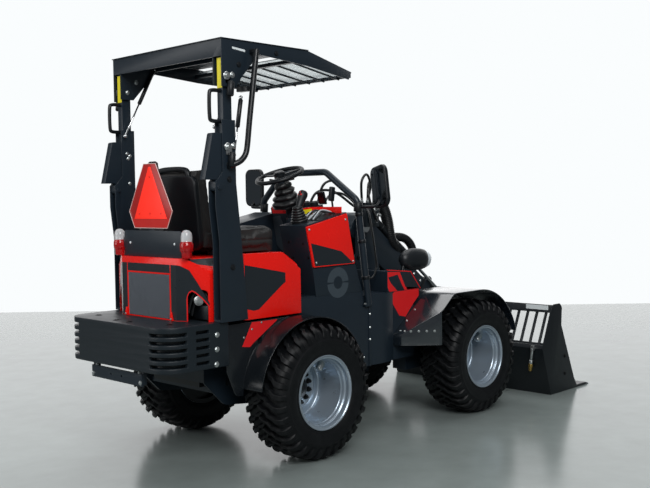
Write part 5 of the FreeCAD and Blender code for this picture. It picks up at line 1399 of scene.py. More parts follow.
@dataclass
class Canopy:
    """What is fixed to the posts and the roof: T pins, grips, handles, gas struts, pull rail and labels."""

    shop: Workshop
    pin_x: float = -0.512
    fold_z: float = 1.723
    roof_z: float = 2.09

    def cluster(self, name: str, body: str, z: float) -> list[bpy.types.Object]:
        """A locking pin's plated discs and tab, with the black grip that hangs below it, on each side."""
        plated, grips = [], []
        for s in SIDES:
            x = self.pin_x
            plated += [
                Form.rod((x - 0.012, s * 0.4905, z + 0.006), (x - 0.012, s * 0.501, z + 0.006), 0.022, 28, 0.12),
                Form.rod((x - 0.012, s * 0.501, z + 0.006), (x - 0.012, s * 0.509, z + 0.006), 0.011, 6, 0.1),
                Form.rod((x + 0.026, s * 0.4905, z + 0.012), (x + 0.026, s * 0.501, z + 0.012), 0.016, 24, 0.15),
                Form.rod((x + 0.026, s * 0.501, z + 0.012), (x + 0.026, s * 0.507, z + 0.012), 0.008, 6, 0.1),
                Form.block((x - 0.022, s * 0.491, z - 0.034),
                           (x + 0.016, s * 0.497, z + 0.004), 0.002),
            ]
            grips.append(Form.rod((x + 0.004, s * 0.512, z - 0.022), (x - 0.004, s * 0.514, z - 0.1), 0.0185, 24, 0.3))
        return [self.shop.piece(f"{name}_plated", Form.merge(*plated), ZINC, body),
                self.shop.piece(f"{name}_grips", Form.merge(*grips), BLACK_PLASTIC, body, 50)]

    def fittings(self) -> bpy.types.Object:
        """D handles, the pull rail with its lugs, and the struts' barrels with their brackets."""
        parts = []
        for s in SIDES:
            parts.append(Form.pipe([(-0.538, s * 0.46, 2.02), (-0.604, s * 0.46, 2.024), (-0.613, s * 0.46, 2.0),
                                    (-0.613, s * 0.46, 1.88), (-0.604, s * 0.46, 1.858), (-0.538, s * 0.46, 1.862)],
                                   0.0105, 16, 3, 8))
            parts.append(Form.rod((-0.329, s * 0.412, 2.236), (-0.439, s * 0.412, 2.029), 0.0115, 20, 0.2))
            parts.append(Form.block((-0.345, s * 0.404, 2.228), (-0.315, s * 0.4905, 2.25), 0.003))
        parts.append(Form.block((-0.378, -0.4905, 2.03), (-0.34, -0.4, 2.056), 0.004))
        parts.append(Form.rod((-0.357, -0.412, 1.992), (-0.384, -0.412, 1.842), 0.0125, 20, 0.2))
        parts.append(Form.pipe([(-0.352, -0.54, 2.24), (-0.372, -0.54, 2.115), (-0.391, -0.54, 1.99),
                                (-0.412, -0.54, 1.855), (-0.426, -0.54, 1.745), (-0.438, -0.54, 1.69),
                                (-0.47, -0.536, 1.655), (-0.5, -0.525, 1.64), (-0.52, -0.51, 1.632)], 0.0155, 20, 3, 8))
        parts.append(Form.block((-0.366, -0.545, 2.222), (-0.34, -0.4975, 2.248), 0.004))
        parts.append(Form.block((-0.53, -0.515, 1.618), (-0.5, -0.4905, 1.648), 0.004))
        return self.shop.piece("canopy_fittings_eased", Form.merge(*parts), BLACK_STEEL, CANOPY, 50)

    def struts(self) -> None:
        """The gas struts' bright rods and ball ends."""
        parts = []
        for s in SIDES:
            parts.append(Form.rod((-0.439, s * 0.412, 2.029), (-0.54, s * 0.412, 1.84), 0.0055, 14, 0.1))
        parts.append(Form.rod((-0.384, -0.412, 1.842), (-0.409, -0.412, 1.7), 0.0055, 14, 0.1))
        for x, y, z in ((-0.326, -0.412, 2.24), (-0.542, -0.412, 1.836), (-0.326, 0.412, 2.24), (-0.542, 0.412, 1.836),
                        (-0.356, -0.412, 2.002), (-0.41, -0.412, 1.694)):
            ball = bmesh.new()
            bmesh.ops.create_uvsphere(ball, u_segments=20, v_segments=12, radius=0.011)
            parts.append(Form.place(ball, (x, y, z)))
        self.shop.piece("strut_rods", Form.merge(*parts), CHROME, CANOPY, 60)

    def labels(self) -> None:
        """Plain yellow strips on the posts and a plain white one on the roof's side."""
        strip = Form.prism(Form.rect(-0.48, 2.035, -0.44, 2.19), -0.5408, -0.5402, Plane.YZ)
        self.shop.piece("post_labels", Form.both(strip), DECAL_YELLOW, CANOPY)
        white = Form.prism([(-0.484, 2.239), (-0.395, 2.23), (-0.395, 2.241), (-0.484, 2.25)], -0.4976, -0.49705,
                           Plane.XZ)
        self.shop.piece("roof_label", Form.both(white), DECAL_WHITE, CANOPY)

    def build(self) -> None:
        """Makes everything on the posts and the roof."""
        shop = self.shop
        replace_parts(self.cluster("fold_pin", "rear_frame", self.fold_z)[0], "fold_pins")
        self.cluster("roof_pin", CANOPY, self.roof_z)
        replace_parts(self.fittings(), "canopy_fittings")
        self.struts()
        self.labels()
        rays = flank_rays(((-0.44, 2.16), (-0.17, 2.245)))
        shop.bolts_on("roof_side_bolts", "canopy_frame", rays, BLACK_STEEL, CANOPY, Head(0.012, 0.005, 0.015, 18))
        rays = flank_rays(((-0.512, 1.56),)) + flank_rays(((-0.5, 1.1),))
        shop.bolts_on("post_hinge_bolts", "lower_posts", rays, BLACK_STEEL, REAR, Head(0.0125, 0.006, 0.0165))
        rays = flank_rays(((-0.52, 1.735), (-0.5, 1.722), (-0.512, 1.706)), 0.2, True)
        rays += flank_rays(((-0.505, 1.56),), 0.2, True)
        shop.bolts_on("post_inner_nuts", "lower_posts", rays, ZINC, REAR, Head(0.0075, 0.006, 0.0105))
        rays = flank_rays(((-0.512, 2.092), (-0.45, 2.155)), 0.2, True)
        shop.bolts_on("roof_inner_nuts", "canopy_frame", rays, ZINC, CANOPY, Head(0.01, 0.006, 0.014))


@dataclass
class Cockpit:
    """Levers with bellows, column boot, dash, tray, mirrors, and the hoop's clamps and cable."""

    shop: Workshop
    pod_z: float = 1.299
    pod_x: float = 0.108
    pod_rise: float = 0.203

    def top(self, x: float) -> float:
        """The height of a pod's top at x."""
        return self.pod_z + self.pod_rise * (x - self.pod_x)

    @staticmethod
    def bellows(length: float, foot: float, head: float, ribs: int) -> bmesh.types.BMesh:
        """A ribbed rubber boot along +Y, from radius foot to radius head."""
        profile = [(0.0, 0.0), (foot, 0.0), (foot, 0.004)]
        for i in range(ribs):
            share = (i + 0.5) / ribs
            radius = foot + (head - foot) * share
            start = 0.006 + (length - 0.008) * i / ribs
            step = (length - 0.008) / ribs
            profile += [(radius * 0.9, start), (radius, start + step * 0.3), (radius, start + step * 0.6)]
        profile += [(head * 0.85, length), (0.0, length)]
        return Form.lathe(profile, 32)

    def levers(self) -> None:
        """The main lever with its bellows and grip, and the auxiliary lever."""
        shop = self.shop
        normal = (-0.2, 0, 0.98)
        base = (0.185, -0.295, self.top(0.185) + 0.0005)
        boot = Form.along(self.bellows(0.098, 0.054, 0.028, 6), base, normal)
        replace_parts(shop.piece("lever_boot", boot, HOSE, "rear_frame", 60), "control_levers")
        foot, lean = Vector((0.17, -0.295, 1.382)), Vector((0.4226, 0, 0.906))
        grip = Form.lathe([(0, 0), (0.014, 0), (0.017, 0.006), (0.0175, 0.03), (0.0205, 0.055), (0.02, 0.07),
                           (0.0235, 0.085), (0.026, 0.104), (0.0235, 0.122), (0.015, 0.131), (0, 0.133)], 28)
        for vert in grip.verts:
            vert.co.x *= 1.15
            vert.co.z *= 0.92
        shop.piece("lever_grip", Form.along(grip, foot, lean), BLACK_PLASTIC, REAR, 60)
        way = Vector((-0.906, 0, 0.4226))
        spots = [(Vector((0.17, -0.295 + y, 1.382)) + Vector((0.4226, 0, 0.906)) * t + way * 0.0235, way)
                 for y, t in ((0.0, 0.112), (0.01, 0.098), (-0.01, 0.098))]
        shop.bolts("lever_buttons", spots, DECAL_RED, REAR, Head(0.0045, 0.0035, 0.006, 14))
        stalk = Form.rod((0.44, -0.33, self.top(0.44)), (0.426, -0.33, 1.448), 0.006, 14)
        shop.piece("small_lever_stalk", stalk, BLACK_STEEL, REAR)
        knob = Form.soften(Form.block((-0.018, -0.013, 0), (0.018, 0.013, 0.088)), 0.009, 3)
        shop.piece("small_lever_knob", Form.place(knob, (0.42, -0.33, 1.438), Quaternion((0, 1, 0), 0.14)),
                   BLACK_PLASTIC, REAR, 50)

    def column(self) -> None:
        """The column's wide boot and its switch stalks."""
        shop = self.shop
        foot, way = Vector((0.47, 0, 1.15)), Vector((-0.342, 0, 0.94))
        boot = self.bellows(0.15, 0.096, 0.048, 4)
        for vert in boot.verts:
            around = math.atan2(vert.co.z, vert.co.x)
            share = 1 + 0.07 * math.sin(3 * around + 38 * vert.co.y) + 0.04 * math.sin(7 * around - 55 * vert.co.y)
            vert.co.x *= share
            vert.co.z *= share
        boot = Form.along(boot, foot + way * 0.285, way)
        shop.piece("column_boot", boot, HOSE, REAR, 60)
        stalks = [Form.rod(foot + way * 0.44, foot + way * 0.445 + Vector((0.0, reach, 0.01)), 0.006, 12)
                  for reach in (-0.115, 0.105)]
        shop.piece("column_stalks", Form.merge(*stalks), BLACK_PLASTIC, REAR)
        cap = Form.along(Form.lathe([(0, 0), (0.03, 0), (0.032, 0.004), (0.026, 0.01), (0, 0.012)], 32),
                         foot + way * 0.496, way)
        shop.piece("wheel_cap", cap, LAMP_BLACK, REAR)

    def tray(self) -> None:
        """The open top of the right pod: its red back wall, plain labels, connectors and wires."""
        shop = self.shop
        t = self.top
        floor = Form.prism([(0.236, t(0.236) + 0.0004), (0.424, t(0.424) + 0.0004), (0.424, t(0.424) + 0.003),
                            (0.236, t(0.236) + 0.003)], -0.404, -0.226, Plane.XZ)
        shop.piece("tray_floor", floor, BLACK_STEEL, REAR)
        wall = Form.prism([(0.232, t(0.232)), (0.43, t(0.43)), (0.43, 1.404), (0.3, 1.402), (0.232, 1.386)], -0.23,
                          -0.226, Plane.XZ, 0.001)
        shop.piece("tray_wall", wall, RED_PAINT, REAR)
        lip = Form.prism([(0.424, t(0.424)), (0.43, t(0.43)), (0.43, 1.404), (0.424, 1.404)], -0.408, -0.23, Plane.XZ,
                         0.001)
        shop.piece("tray_lip", lip, RED_PAINT, REAR)
        label = Form.prism([(0.25, 1.35), (0.352, 1.358), (0.352, 1.394), (0.25, 1.386)], -0.2312, -0.2302, Plane.XZ)
        shop.piece("tray_label", label, DECAL_YELLOW, REAR)
        boxes = [Form.block((x, y, t(x) + 0.003), (x + 0.04, y + 0.03, t(x) + 0.028), 0.003)
                 for x, y in ((0.262, -0.29), (0.318, -0.3), (0.372, -0.286))]
        shop.piece("tray_connectors", Form.merge(*boxes), WIRE_GREY, REAR)
        wires = {"black": [], "grey": []}
        for i in range(7):
            y, lift = -0.25 - 0.019 * i, 0.014 + 0.006 * (i % 3)
            line = [(0.245, y, t(0.245) + 0.004), (0.28, y - 0.01, t(0.28) + lift + 0.012),
                    (0.33, y + 0.014, t(0.33) + lift + 0.018), (0.38, y - 0.006, t(0.38) + lift),
                    (0.416, y, t(0.416) + 0.004)]
            wires["grey" if i % 2 else "black"].append(Form.pipe(line, 0.0046, 8, 3, 6))
        shop.piece("tray_wires", Form.merge(*wires["black"]), HOSE, REAR, 60)
        shop.piece("tray_pale_wires", Form.merge(*wires["grey"]), WIRE_GREY, REAR, 60)

    def dash(self) -> None:
        """A row of round instruments and the small display."""
        shop = self.shop
        gauge = Form.lathe([(0, 0), (0.026, 0), (0.027, 0.004), (0.026, 0.03), (0.022, 0.033), (0.02, 0.03),
                            (0, 0.029)], 28)
        rows = Form.along(gauge, (0.445, -0.165, 1.405), (-0.25, 0, 0.97))
        shop.repeated("dash_gauges", rows, Repeat.row, LAMP_BLACK, REAR, Count=5, Offset=(0.0, 0.074, 0.0))
        screen = Form.soften(Form.block((-0.006, -0.03, 0), (0.006, 0.03, 0.08)), 0.003)
        turn = Quaternion((0, 1, 0), -0.3)
        shop.piece("dash_display", Form.place(screen, (0.452, -0.232, 1.42), turn), BLACK_PLASTIC, REAR)
        glass = Form.block((-0.0068, -0.025, 0.008), (-0.0058, 0.025, 0.072))
        shop.piece("dash_display_glass", Form.place(glass, (0.452, -0.232, 1.42), turn), SCREEN, REAR)

    def mirror_glass(self) -> None:
        """Both mirrors: glass, case and arm."""
        outline = Form.rounded(0.074, 0.116, 0.036)
        for name, place, turn in (
                ("right", (0.606, -0.566, 1.522),
                 Quaternion((0, 0, 1), math.radians(-18)) @ Quaternion((1, 0, 0), math.radians(-10))),
                ("left", (0.606, 0.57, 1.536), Quaternion((0, 0, 1), 0.0))):
            glass = Form.prism(outline, -0.0172, -0.0156, Plane.YZ)
            self.shop.piece(f"mirror_glass_{name}", Form.place(glass, place, turn), MIRROR, REAR)
            rim = Form.prism(Form.rounded(0.085, 0.127, 0.045), -0.0158, 0.016, Plane.YZ)
            Form.soften(rim, 0.009, 4)
            for vert in rim.verts:
                if vert.co.x > 0.01:
                    vert.co.y *= 0.93
                    vert.co.z *= 0.95
            self.shop.piece(f"mirror_case_{name}", Form.place(rim, place, turn), BLACK_PLASTIC, REAR, 50)
        arms = []
        for s in SIDES:
            arms.append(Form.pipe([(0.558, s * 0.446, 1.4), (0.56, s * 0.54, 1.4), (0.572, s * 0.57, 1.408),
                                   (0.596, s * 0.57, 1.44), (0.608, s * 0.57, 1.47)], 0.009, 14))
            arms.append(Form.rod((0.555, s * 0.425, 1.372), (0.56, s * 0.425, 1.428), 0.0265, 24, 0.1))
            arms.append(Form.rod((0.6085, s * 0.569, 1.462), (0.6085, s * 0.569, 1.5), 0.015, 18, 0.3))
        thing = self.shop.piece("mirror_arms", Form.merge(*arms), BLACK_PLASTIC, REAR, 50)
        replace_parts(thing, "mirrors")

    def hoop_parts(self) -> None:
        """Bolts on the hoop's feet and the clamps that hold the cables."""
        spots = [((0.645 - 0.032, s * 0.425, 0.7995), (0, 0, 1)) for s in SIDES]
        self.shop.bolts("hoop_foot_bolts", spots, ZINC, REAR, Head(0.007, 0.006, 0.011))
        clamps = [Form.rod((x, s * 0.4255, z), (x - 0.003, s * 0.4255, z + 0.022), 0.0245, 24, 0.1) for s in SIDES
                  for x, z in ((0.622, 0.955), (0.59, 1.18), (0.566, 1.345))]
        self.shop.piece("hoop_clamps", Form.merge(*clamps), BLACK_PLASTIC, REAR, 50)
        line = [(0.652, -0.4, 0.83), (0.628, -0.4, 1.0), (0.6, -0.4, 1.2), (0.575, -0.398, 1.38), (0.56, -0.38, 1.455),
                (0.548, -0.33, 1.5)]
        self.shop.piece("hoop_cable", Form.pipe(line, 0.005, 10), HOSE, REAR, 60)

    def build(self) -> None:
        """Makes the controls."""
        self.levers()
        self.column()
        self.tray()
        self.dash()
        self.mirror_glass()
        self.hoop_parts()
        self.dash_film("dash_red_face", Form.rect(0.19, 1.364, 0.0, 1.409), DECAL_RED)
        self.dash_film("dash_grey_film", [(0.196, 1.34), (0.12, 1.35), (0.06, 1.15), (0.1, 1.06), (0.196, 1.16)],
                       DECAL_GREY)

    def dash_film(self, name: str, outline: Sequence[Point], finish: Finish) -> None:
        """A film on the dash's leaning rear face."""
        form = Form.prism(outline, -0.0022, -0.0016, Plane.YZ)
        for vert in form.verts:
            vert.co.x += 0.415 + 0.2 * (1.372 - vert.co.z)
        self.shop.piece(name, form, finish, REAR)


@dataclass
class FrontFrame:
    """Films on the cowls, work lights, fender bolts and the hydraulic block on the boom tower."""

    shop: Workshop
    wall_y: float = 0.392

    def film(self, name: str, outline: Sequence[Point], finish: Finish, proud: float = 0.0006) -> None:
        """A thin film on both flanks of the cowls."""
        form = Form.prism(outline, -self.wall_y - proud, -self.wall_y - FILM_GAP, Plane.XZ)
        self.shop.piece(name, Form.both(form), finish, FRONT)

    def lights(self) -> None:
        """Egg-shaped work lights with clear noses, on short stems."""
        shop = self.shop
        cases, lenses, stems = [], [], []
        for s in SIDES:
            case = Form.lathe([(0, 0), (0.012, 0.001), (0.028, 0.01), (0.041, 0.034), (0.0505, 0.07), (0.055, 0.11),
                               (0.056, 0.155), (0.054, 0.2), (0.05, 0.232), (0.0475, 0.236), (0.044, 0.232),
                               (0, 0.228)], 40)
            lens = Form.lathe([(0.0465, 0.2325), (0.0455, 0.25), (0.04, 0.275), (0.027, 0.297), (0.013, 0.306),
                               (0, 0.308)], 40)
            bmesh.ops.contextual_create(lens, geom=[e for e in lens.edges if e.is_boundary])
            at, way = (1.078, s * 0.33, 1.044), (0.996, 0, -0.02)
            cases.append(Form.along(case, at, way))
            lenses.append(Form.along(lens, at, way))
            for form in (cases[-1], lenses[-1]):
                for vert in form.verts:
                    vert.co.z = 1.044 + (vert.co.z - 1.044) * 1.32
            stems.append(Form.rod((1.092, s * 0.33, 0.968), (1.112, s * 0.33, 1.035), 0.012, 18))
        thing = shop.piece("work_light_cases", Form.merge(*cases), LAMP_BLACK, FRONT, 50)
        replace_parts(thing, "head_lights")
        shop.piece("work_light_lenses", Form.merge(*lenses), WORK_LENS, FRONT, 60)
        shop.piece("work_light_stems", Form.merge(*stems), BLACK_STEEL, FRONT)

    def valve_block(self) -> None:
        """The hydraulic block beside the tower's top with its plated fittings."""
        shop = self.shop
        block = Form.merge(Form.block((0.88, -0.205, 1.265), (1.01, -0.126, 1.395), 0.005),
                           Form.block((0.905, -0.19, 1.395), (0.985, -0.135, 1.425), 0.004),
                           Form.block((0.9, -0.235, 1.29), (0.935, -0.205, 1.37), 0.004))
        shop.piece("hydraulic_block", block, CAST_PAINT, FRONT)
        fittings = []
        for x, y, z, way in ((0.9, -0.15, 1.425, (0, 0, 1)), (0.93, -0.175, 1.425, (0, 0, 1)),
                             (0.962, -0.15, 1.425, (0, 0, 1)), (0.985, -0.18, 1.395, (0.3, 0, 1)),
                             (0.88, -0.165, 1.37, (-1, 0, 0.4)), (0.88, -0.165, 1.32, (-1, 0, 0)),
                             (0.95, -0.205, 1.3, (0, -1, 0)), (0.985, -0.205, 1.34, (0, -1, 0)),
                             (0.96, -0.205, 1.375, (0, -1, 0.4)), (1.01, -0.165, 1.35, (1, 0, 0.3))):
            start, way = Vector((x, y, z)), Vector(way).normalized()
            fittings += [Form.rod(start, start + way * 0.014, 0.0125, 6, 0.1),
                         Form.rod(start + way * 0.014, start + way * 0.034, 0.0088, 16, 0.1)]
        shop.piece("hydraulic_fittings", Form.merge(*fittings), ZINC, FRONT, 40)

    def build(self) -> None:
        """Makes the front frame's pieces."""
        shop = self.shop
        self.film("cowl_charcoal", [(1.02, 0.958), (1.098, 0.958), (1.19, 0.853), (1.062, 0.853)], DECAL_DARK)
        self.film("cowl_red_mark", [(0.884, 0.8515), (0.964, 0.8515), (0.9, 0.905), (0.872, 0.945), (0.968, 0.957),
                                    (1.006, 0.895), (1.037, 0.8515), (1.185, 0.8515), (1.178, 0.858), (1.046, 0.872),
                                    (0.99, 0.972), (0.868, 0.98), (0.868, 0.88)], DECAL_RED)
        self.film("housing_red_mark", [(0.884, 0.815), (0.935, 0.8485), (1.185, 0.8485), (1.185, 0.804),
                                       (1.1255, 0.755), (1.043, 0.676), (0.981, 0.689)], DECAL_RED)
        # A red strip along the cowl's top edge: a painted highlight of that edge, in the red tone it shows.
        line = Form.prism([(0.866, 0.9892), (1.1, 0.9652), (1.2, 0.8495), (1.207, 0.8515), (1.104, 0.9712),
                           (0.866, 0.9952)], -0.3935, -0.386, Plane.XZ, 0.0008)
        shop.piece("cowl_edge_painted_highlight", Form.both(line), DECAL_RED, FRONT)
        self.lights()
        self.valve_block()
        rays = forward_rays(0.4, [(0.43 + 0.036 * i, 0.598) for i in range(6)])
        shop.bolts_on("front_fender_bolts", "front_fenders", rays, ZINC, FRONT, Head(0.0055, 0.0035, 0.008, 14))
        rays = forward_rays(0.4, ((0.425, 0.655), (0.425, 0.72)))
        shop.bolts_on("front_fender_edge_bolts", "front_fenders", rays, ZINC, FRONT, Head(0.0055, 0.0035, 0.008, 14))
        rays = flank_rays(((0.9, 1.06), (0.9, 0.92), (1.11, 0.9)))
        shop.bolts_on("tower_bolts", "boom_tower", rays, NUT_BLACK, FRONT, Head(0.011, 0.007, 0.016))
        pin = [Form.rod((0.97, s * 0.1205, 1.26), (0.97, s * 0.1275, 1.26), 0.034, 32, 0.08) for s in SIDES]
        shop.piece("boom_pin_caps", Form.merge(*pin), ZINC, FRONT)


@dataclass
class BoomLines:
    """The boom's hoses, its corrugated sleeve and arch, pads, caps and the lines from the cab."""

    shop: Workshop
    pivot: tuple[float, float] = (0.97, 1.26)
    slope: float = 37.0

    def at(self, s: float, y: float, n: float) -> tuple[float, float, float]:
        """A point s along the boom from its pivot and n above its axis."""
        a = math.radians(self.slope)
        return (self.pivot[0] + s * math.cos(a) + n * math.sin(a), y, self.pivot[1] - s * math.sin(a) + n * math.cos(a))

    def sleeve(self, name: str, points: Sequence[Point], radius: float, pitch: float, body: str) -> bpy.types.Object:
        """A corrugated sleeve: a core tube with rings threaded on the same line.

        Args:
            name: the piece's name.
            points: the line's control points.
            radius: the sleeve's outside radius.
            pitch: the distance between ribs.
            body: the body it rides on.
        """
        core = self.shop.piece(f"{name}_core", Form.pipe(points, radius - 0.004, 24), HOSE, body, 60)
        path = Form.of_curve(Form.spline(points, 3, 16))
        self.shop.repeated(f"{name}_ribs", path, Repeat.corrugation, HOSE, body, Pitch=pitch,
                           Ring_radius=radius - pitch * 0.25, Rib_radius=pitch * 0.33, smooth=60.0)
        return core

    def hoses(self) -> None:
        """Hoses that cross from the console to the tower and from the tower to the boom."""
        shop = self.shop
        steering = (REAR, FRONT, (0.66, 0, 1.4), (0.84, 0, 1.4))
        lifting = (FRONT, BOOM, (0.96, 0, 1.4), (1.1, 0, 1.4))
        lines = {
            "console_hose_a": ([(0.54, -0.1, 1.425), (0.556, -0.1, 1.49), (0.6, -0.1, 1.56),
                                (0.69, -0.115, 1.575), (0.78, -0.135, 1.5), (0.88, -0.15, 1.425),
                                (0.9, -0.15, 1.42)], 0.0085, steering),
            "console_hose_b": ([(0.52, -0.05, 1.42), (0.545, -0.05, 1.48), (0.62, -0.06, 1.515),
                                (0.72, -0.09, 1.5), (0.84, -0.15, 1.39), (0.88, -0.165, 1.375)], 0.0085,
                               steering),
            "console_hose_c": ([(0.555, -0.145, 1.42), (0.565, -0.15, 1.47), (0.65, -0.19, 1.5),
                                (0.76, -0.215, 1.43), (0.85, -0.185, 1.34), (0.88, -0.165, 1.322)], 0.0075,
                               steering),
            "thin_loop": ([(0.64, -0.33, 1.47), (0.673, -0.33, 1.449), (0.693, -0.33, 1.277),
                           (0.704, -0.33, 1.119), (0.716, -0.33, 0.99), (0.75, -0.33, 0.938),
                           (0.806, -0.33, 0.95), (0.836, -0.33, 1.012), (0.825, -0.33, 1.087),
                           (0.799, -0.33, 1.221), (0.792, -0.31, 1.358), (0.85, -0.23, 1.4),
                           (0.905, -0.215, 1.37)], 0.0062, (REAR, FRONT, (0.68, 0, 1), (0.82, 0, 1))),
            "tower_loop_a": ([(0.9, -0.15, 1.455), (0.85, -0.19, 1.52), (0.845, -0.2, 1.575),
                              (0.894, -0.2, 1.62), (0.935, -0.195, 1.57), (0.965, -0.17, 1.5),
                              (0.962, -0.15, 1.455)], 0.0085, None),
            "tower_loop_b": ([(0.93, -0.175, 1.455), (0.9, -0.205, 1.52), (0.87, -0.23, 1.5),
                              (0.88, -0.25, 1.4), (0.93, -0.245, 1.33), (0.95, -0.238, 1.3)], 0.0075, None),
            "lift_hose_a": ([(0.985, -0.18, 1.425), (0.99, -0.175, 1.49), (1.04, -0.14, 1.53),
                             (1.11, -0.1, 1.49), (1.165, -0.075, 1.44), (1.21, -0.07, 1.395)], 0.0095, lifting),
            "lift_hose_b": ([(0.962, -0.15, 1.455), (0.975, -0.14, 1.54), (1.03, -0.11, 1.57),
                             (1.11, -0.07, 1.52), (1.17, -0.055, 1.45), (1.215, -0.055, 1.39)], 0.0095, lifting),
            "lift_hose_c": ([(1.044, -0.165, 1.362), (1.085, -0.15, 1.395), (1.13, -0.11, 1.43),
                             (1.18, -0.085, 1.42), (1.215, -0.08, 1.385)], 0.0085, lifting),
        }
        for name, (line, radius, link) in lines.items():
            form = Form.pipe(line, radius, 14, 3, 8)
            if link is None:
                shop.piece(name, form, HOSE, FRONT, 60)
            else:
                shop.bridge(name, form, HOSE, link[:2], link[2], link[3])

    def build(self) -> None:
        """Makes the boom's lines and trims."""
        shop = self.shop
        self.sleeve("boom_sleeve", [(1.165, -0.066, 1.445), (1.2, -0.066, 1.41), (1.235, -0.066, 1.35),
                                    (1.262, -0.066, 1.28), (1.275, -0.066, 1.2), (1.3, -0.06, 1.15),
                                    (1.345, -0.05, 1.11), (1.4, -0.03, 1.07)], 0.04, 0.013, BOOM)
        arch = self.sleeve("hose_arch", [self.at(s, 0, n) for s, n in (
            (0.3, 0.082), (0.33, 0.13), (0.4, 0.2), (0.5, 0.262), (0.6, 0.262), (0.68, 0.2),
            (0.7, 0.1))], 0.03, 0.011, BOOM)
        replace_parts(arch, "hose_guard")
        self.hoses()
        collar = Form.block((-0.012, -0.079, -0.099), (0.012, 0.079, 0.099), 0.003)
        turn = Quaternion((0, 1, 0), math.radians(self.slope))
        shop.piece("boom_mouth_collar", Form.place(collar, self.at(0.79, 0, 0), turn), BLACK_STEEL, BOOM)
        spots = [(self.at(s, sign * 0.0751, n), (0, sign, 0)) for sign in SIDES for s in (0.66, 0.75)
                 for n in (-0.06, 0.06)]
        shop.bolts("slide_pad_bolts", spots, ZINC, BOOM, Head(0.0075, 0.005, 0.0105))
        clamps = [Form.rod(self.at(s, sign * 0.06, 0.131), self.at(s + 0.016, sign * 0.06, 0.131), 0.0292, 24, 0.08)
                  for sign in SIDES for s in (0.175, 0.6)]
        shop.piece("slide_barrel_clamps", Form.merge(*clamps), BLACK_STEEL, BOOM, 50)


@dataclass
class Attachment:
    """The bucket's plain label and side bolts, and the hitch's locking handle and bar."""

    shop: Workshop

    def build(self) -> None:
        """Makes the attachment's pieces."""
        shop = self.shop
        found = [shop.hit("bucket_grate", (1.9, y, 0.628), (1, 0, 0)) for y in (-0.69, -0.52)]
        x = min(p[0].x for p in found if p) if any(found) else 2.316
        plate = Form.prism(Form.rect(-0.7, 0.604, -0.515, 0.652), x - 0.004, x - 0.002, Plane.YZ)
        shop.piece("rail_label", plate, DECAL_WHITE, TOOL)
        handle = Form.merge(
            Form.block((2.162, -0.664, 0.335), (2.1855, -0.64, 0.372), 0.003),
            Form.rod((2.168, -0.654, 0.352), (2.185, -0.632, 0.262), 0.0095, 16, 0.2),
            Form.rod((2.185, -0.632, 0.262), (2.193, -0.625, 0.232), 0.0135, 18, 0.2))
        shop.piece("hitch_handle", handle, ZINC, TOOL, 50)
        knob = Form.merge(Form.rod((2.193, -0.625, 0.234), (2.203, -0.616, 0.2), 0.017, 8, 0.2),
                          Form.rod((2.203, -0.616, 0.2), (2.209, -0.611, 0.178), 0.012, 18, 0.2))
        shop.piece("hitch_handle_knob", knob, BRASS, TOOL, 50)
        bar = Form.rod((2.1525, -0.345, 0.42), (2.1525, 0.345, 0.42), 0.011, 18, 0.1)
        shop.piece("hitch_lock_bar", bar, ZINC, TOOL, 50)
        rays = flank_rays(((2.5, 0.13), (2.5, 0.26)), 1.2)
        shop.bolts_on("bucket_side_bolts", "bucket", rays, NUT_BLACK, TOOL, Head(0.009, 0.006, 0.013))


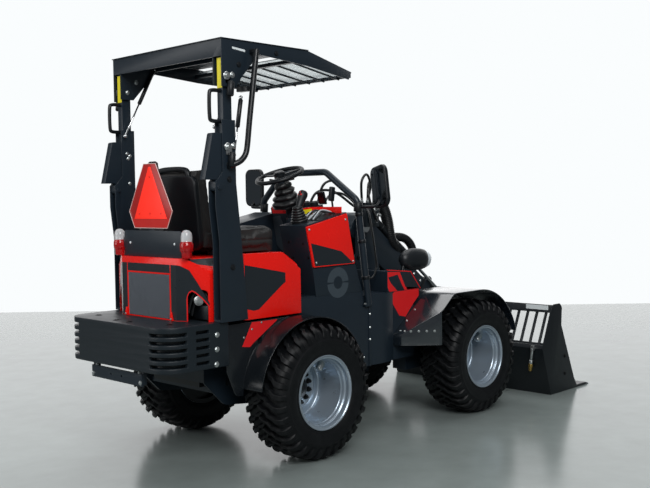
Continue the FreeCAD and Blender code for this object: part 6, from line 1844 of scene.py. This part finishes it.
@dataclass
class Stage:
    """Floor, pale surroundings, lamps and camera."""

    shop: Workshop
    camera_at: tuple[float, float, float] = (-4.598, -4.2, 1.446)
    yaw: float = 44.114
    pitch: float = -2.734
    roll: float = -0.825
    lens: float = 51.09
    half_floor: float = 6.1
    ambient: float = 0.16
    slab: float = 0.05
    gap: float = 0.0004

    def build(self) -> None:
        """Sets the stage."""
        self.floor()
        self.world()
        self.lamps()
        self.camera()

    def floor(self) -> None:
        """A square of pale sealed concrete, square to the camera's heading."""
        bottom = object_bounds()[0][2]
        form = Form.block((-self.half_floor, -self.half_floor, bottom - self.slab), (self.half_floor, self.half_floor,
                                                                                     bottom - self.gap))
        Form.place(form, turn=Quaternion((0, 0, 1), math.radians(self.yaw)))
        thing = self.shop.host("floor", form)
        thing.data.materials.append(FLOOR.make())
        thing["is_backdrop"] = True

    def world(self) -> None:
        """Pale surroundings: white where they are seen, softer where they light the object."""
        world = bpy.data.worlds.new("pale_room")
        bpy.context.scene.world = world
        world.use_nodes = True
        tree = world.node_tree
        tree.nodes.clear()
        path = add_node(tree, "ShaderNodeLightPath")
        rays = {0: path.outputs["Is Camera Ray"], 1: path.outputs["Is Transmission Ray"]}
        seen = add_node(tree, "ShaderNodeMath", rays, operation="MAXIMUM")
        lit = add_node(tree, "ShaderNodeBackground", {"Color": linear("#e8eef2"), "Strength": self.ambient})
        shown = add_node(tree, "ShaderNodeBackground", {"Color": linear("#fafdfe"), "Strength": 1.0})
        mix = add_node(tree, "ShaderNodeMixShader", {"Fac": seen.outputs["Value"], 1: lit.outputs["Background"],
                                                     2: shown.outputs["Background"]})
        add_node(tree, "ShaderNodeOutputWorld", {"Surface": mix.outputs["Shader"]})

    def lamps(self) -> None:
        """A wide bright wall beyond the object, a soft key behind the viewer and a soft box overhead."""
        ahead = Vector((math.cos(math.radians(self.yaw)), math.sin(math.radians(self.yaw)), 0))
        beyond = ahead * 8.0 + Vector((0, 0, 3.2))
        for name, place, aim, size, power in (
                ("bright_wall", beyond, Vector((0, 0, 1.6)), (18.0, 8.0), 520),
                ("key", Vector((-5.0, -6.5, 6.0)), Vector((0, 0, 0.8)), (5.0, 4.0), 560),
                ("overhead", Vector((0.5, 0.5, 6.5)), Vector((0, 0, 0)), (6.0, 6.0), 260),
                ("left_fill", Vector((-6.5, 2.5, 3.0)), Vector((-0.5, 0, 1.0)), (4.0, 4.0), 120)):
            data = bpy.data.lights.new(name, "AREA")
            data.shape = "RECTANGLE"
            data.size, data.size_y = size
            data.energy = power
            lamp = bpy.data.objects.new(name, data)
            lamp.location = place
            lamp.rotation_euler = (aim - place).to_track_quat("-Z", "Y").to_euler()
            lamp.visible_camera = False
            lamp.visible_transmission = False
            bpy.context.scene.collection.objects.link(lamp)

    def camera(self) -> None:
        """The camera, from behind on the right and turned by yaw, pitch and roll."""
        yaw, pitch, roll = (math.radians(a) for a in (self.yaw, self.pitch, self.roll))
        ahead = Vector((math.cos(yaw) * math.cos(pitch), math.sin(yaw) * math.cos(pitch), math.sin(pitch)))
        right = Vector((math.sin(yaw), -math.cos(yaw), 0))
        up = right.cross(ahead)
        level, tilt = right * math.cos(roll) + up * math.sin(roll), up * math.cos(roll) - right * math.sin(roll)
        data = bpy.data.cameras.new("camera")
        data.lens = self.lens
        data.sensor_width = 36.0
        data.sensor_fit = "HORIZONTAL"
        camera = bpy.data.objects.new("camera", data)
        matrix = Matrix((level, tilt, -ahead)).transposed().to_4x4()
        matrix.translation = self.camera_at
        camera.matrix_world = matrix
        bpy.context.scene.collection.objects.link(camera)
        bpy.context.scene.camera = camera
        bpy.context.scene.view_settings.view_transform = "Standard"


def dress_frame(frame: dict) -> None:
    """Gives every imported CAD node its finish."""
    for name, finish in NODE_FINISH.items():
        thing = frame["nodes"].get(name)
        if thing is None:
            continue
        material = finish.make()
        if not thing.material_slots:
            thing.data.materials.append(material)
        for slot in thing.material_slots:
            slot.material = material


def main() -> None:
    """Builds the loader's looks."""
    logging.basicConfig(level=logging.INFO, format="%(message)s")
    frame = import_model()
    dress_frame(frame)
    shop = Workshop(frame)
    Stage(shop).build()
    for body, widths in EASED.items():
        for node, width in widths.items():
            shop.eased(node, body, width)
    for assembly in (Wheels, Bodywork, RearSigns, Seat, Canopy, Cockpit, FrontFrame, BoomLines, Attachment):
        assembly(shop).build()
    LOG.info("%d pieces made", shop.made)


if __name__ == "__main__":
    main()
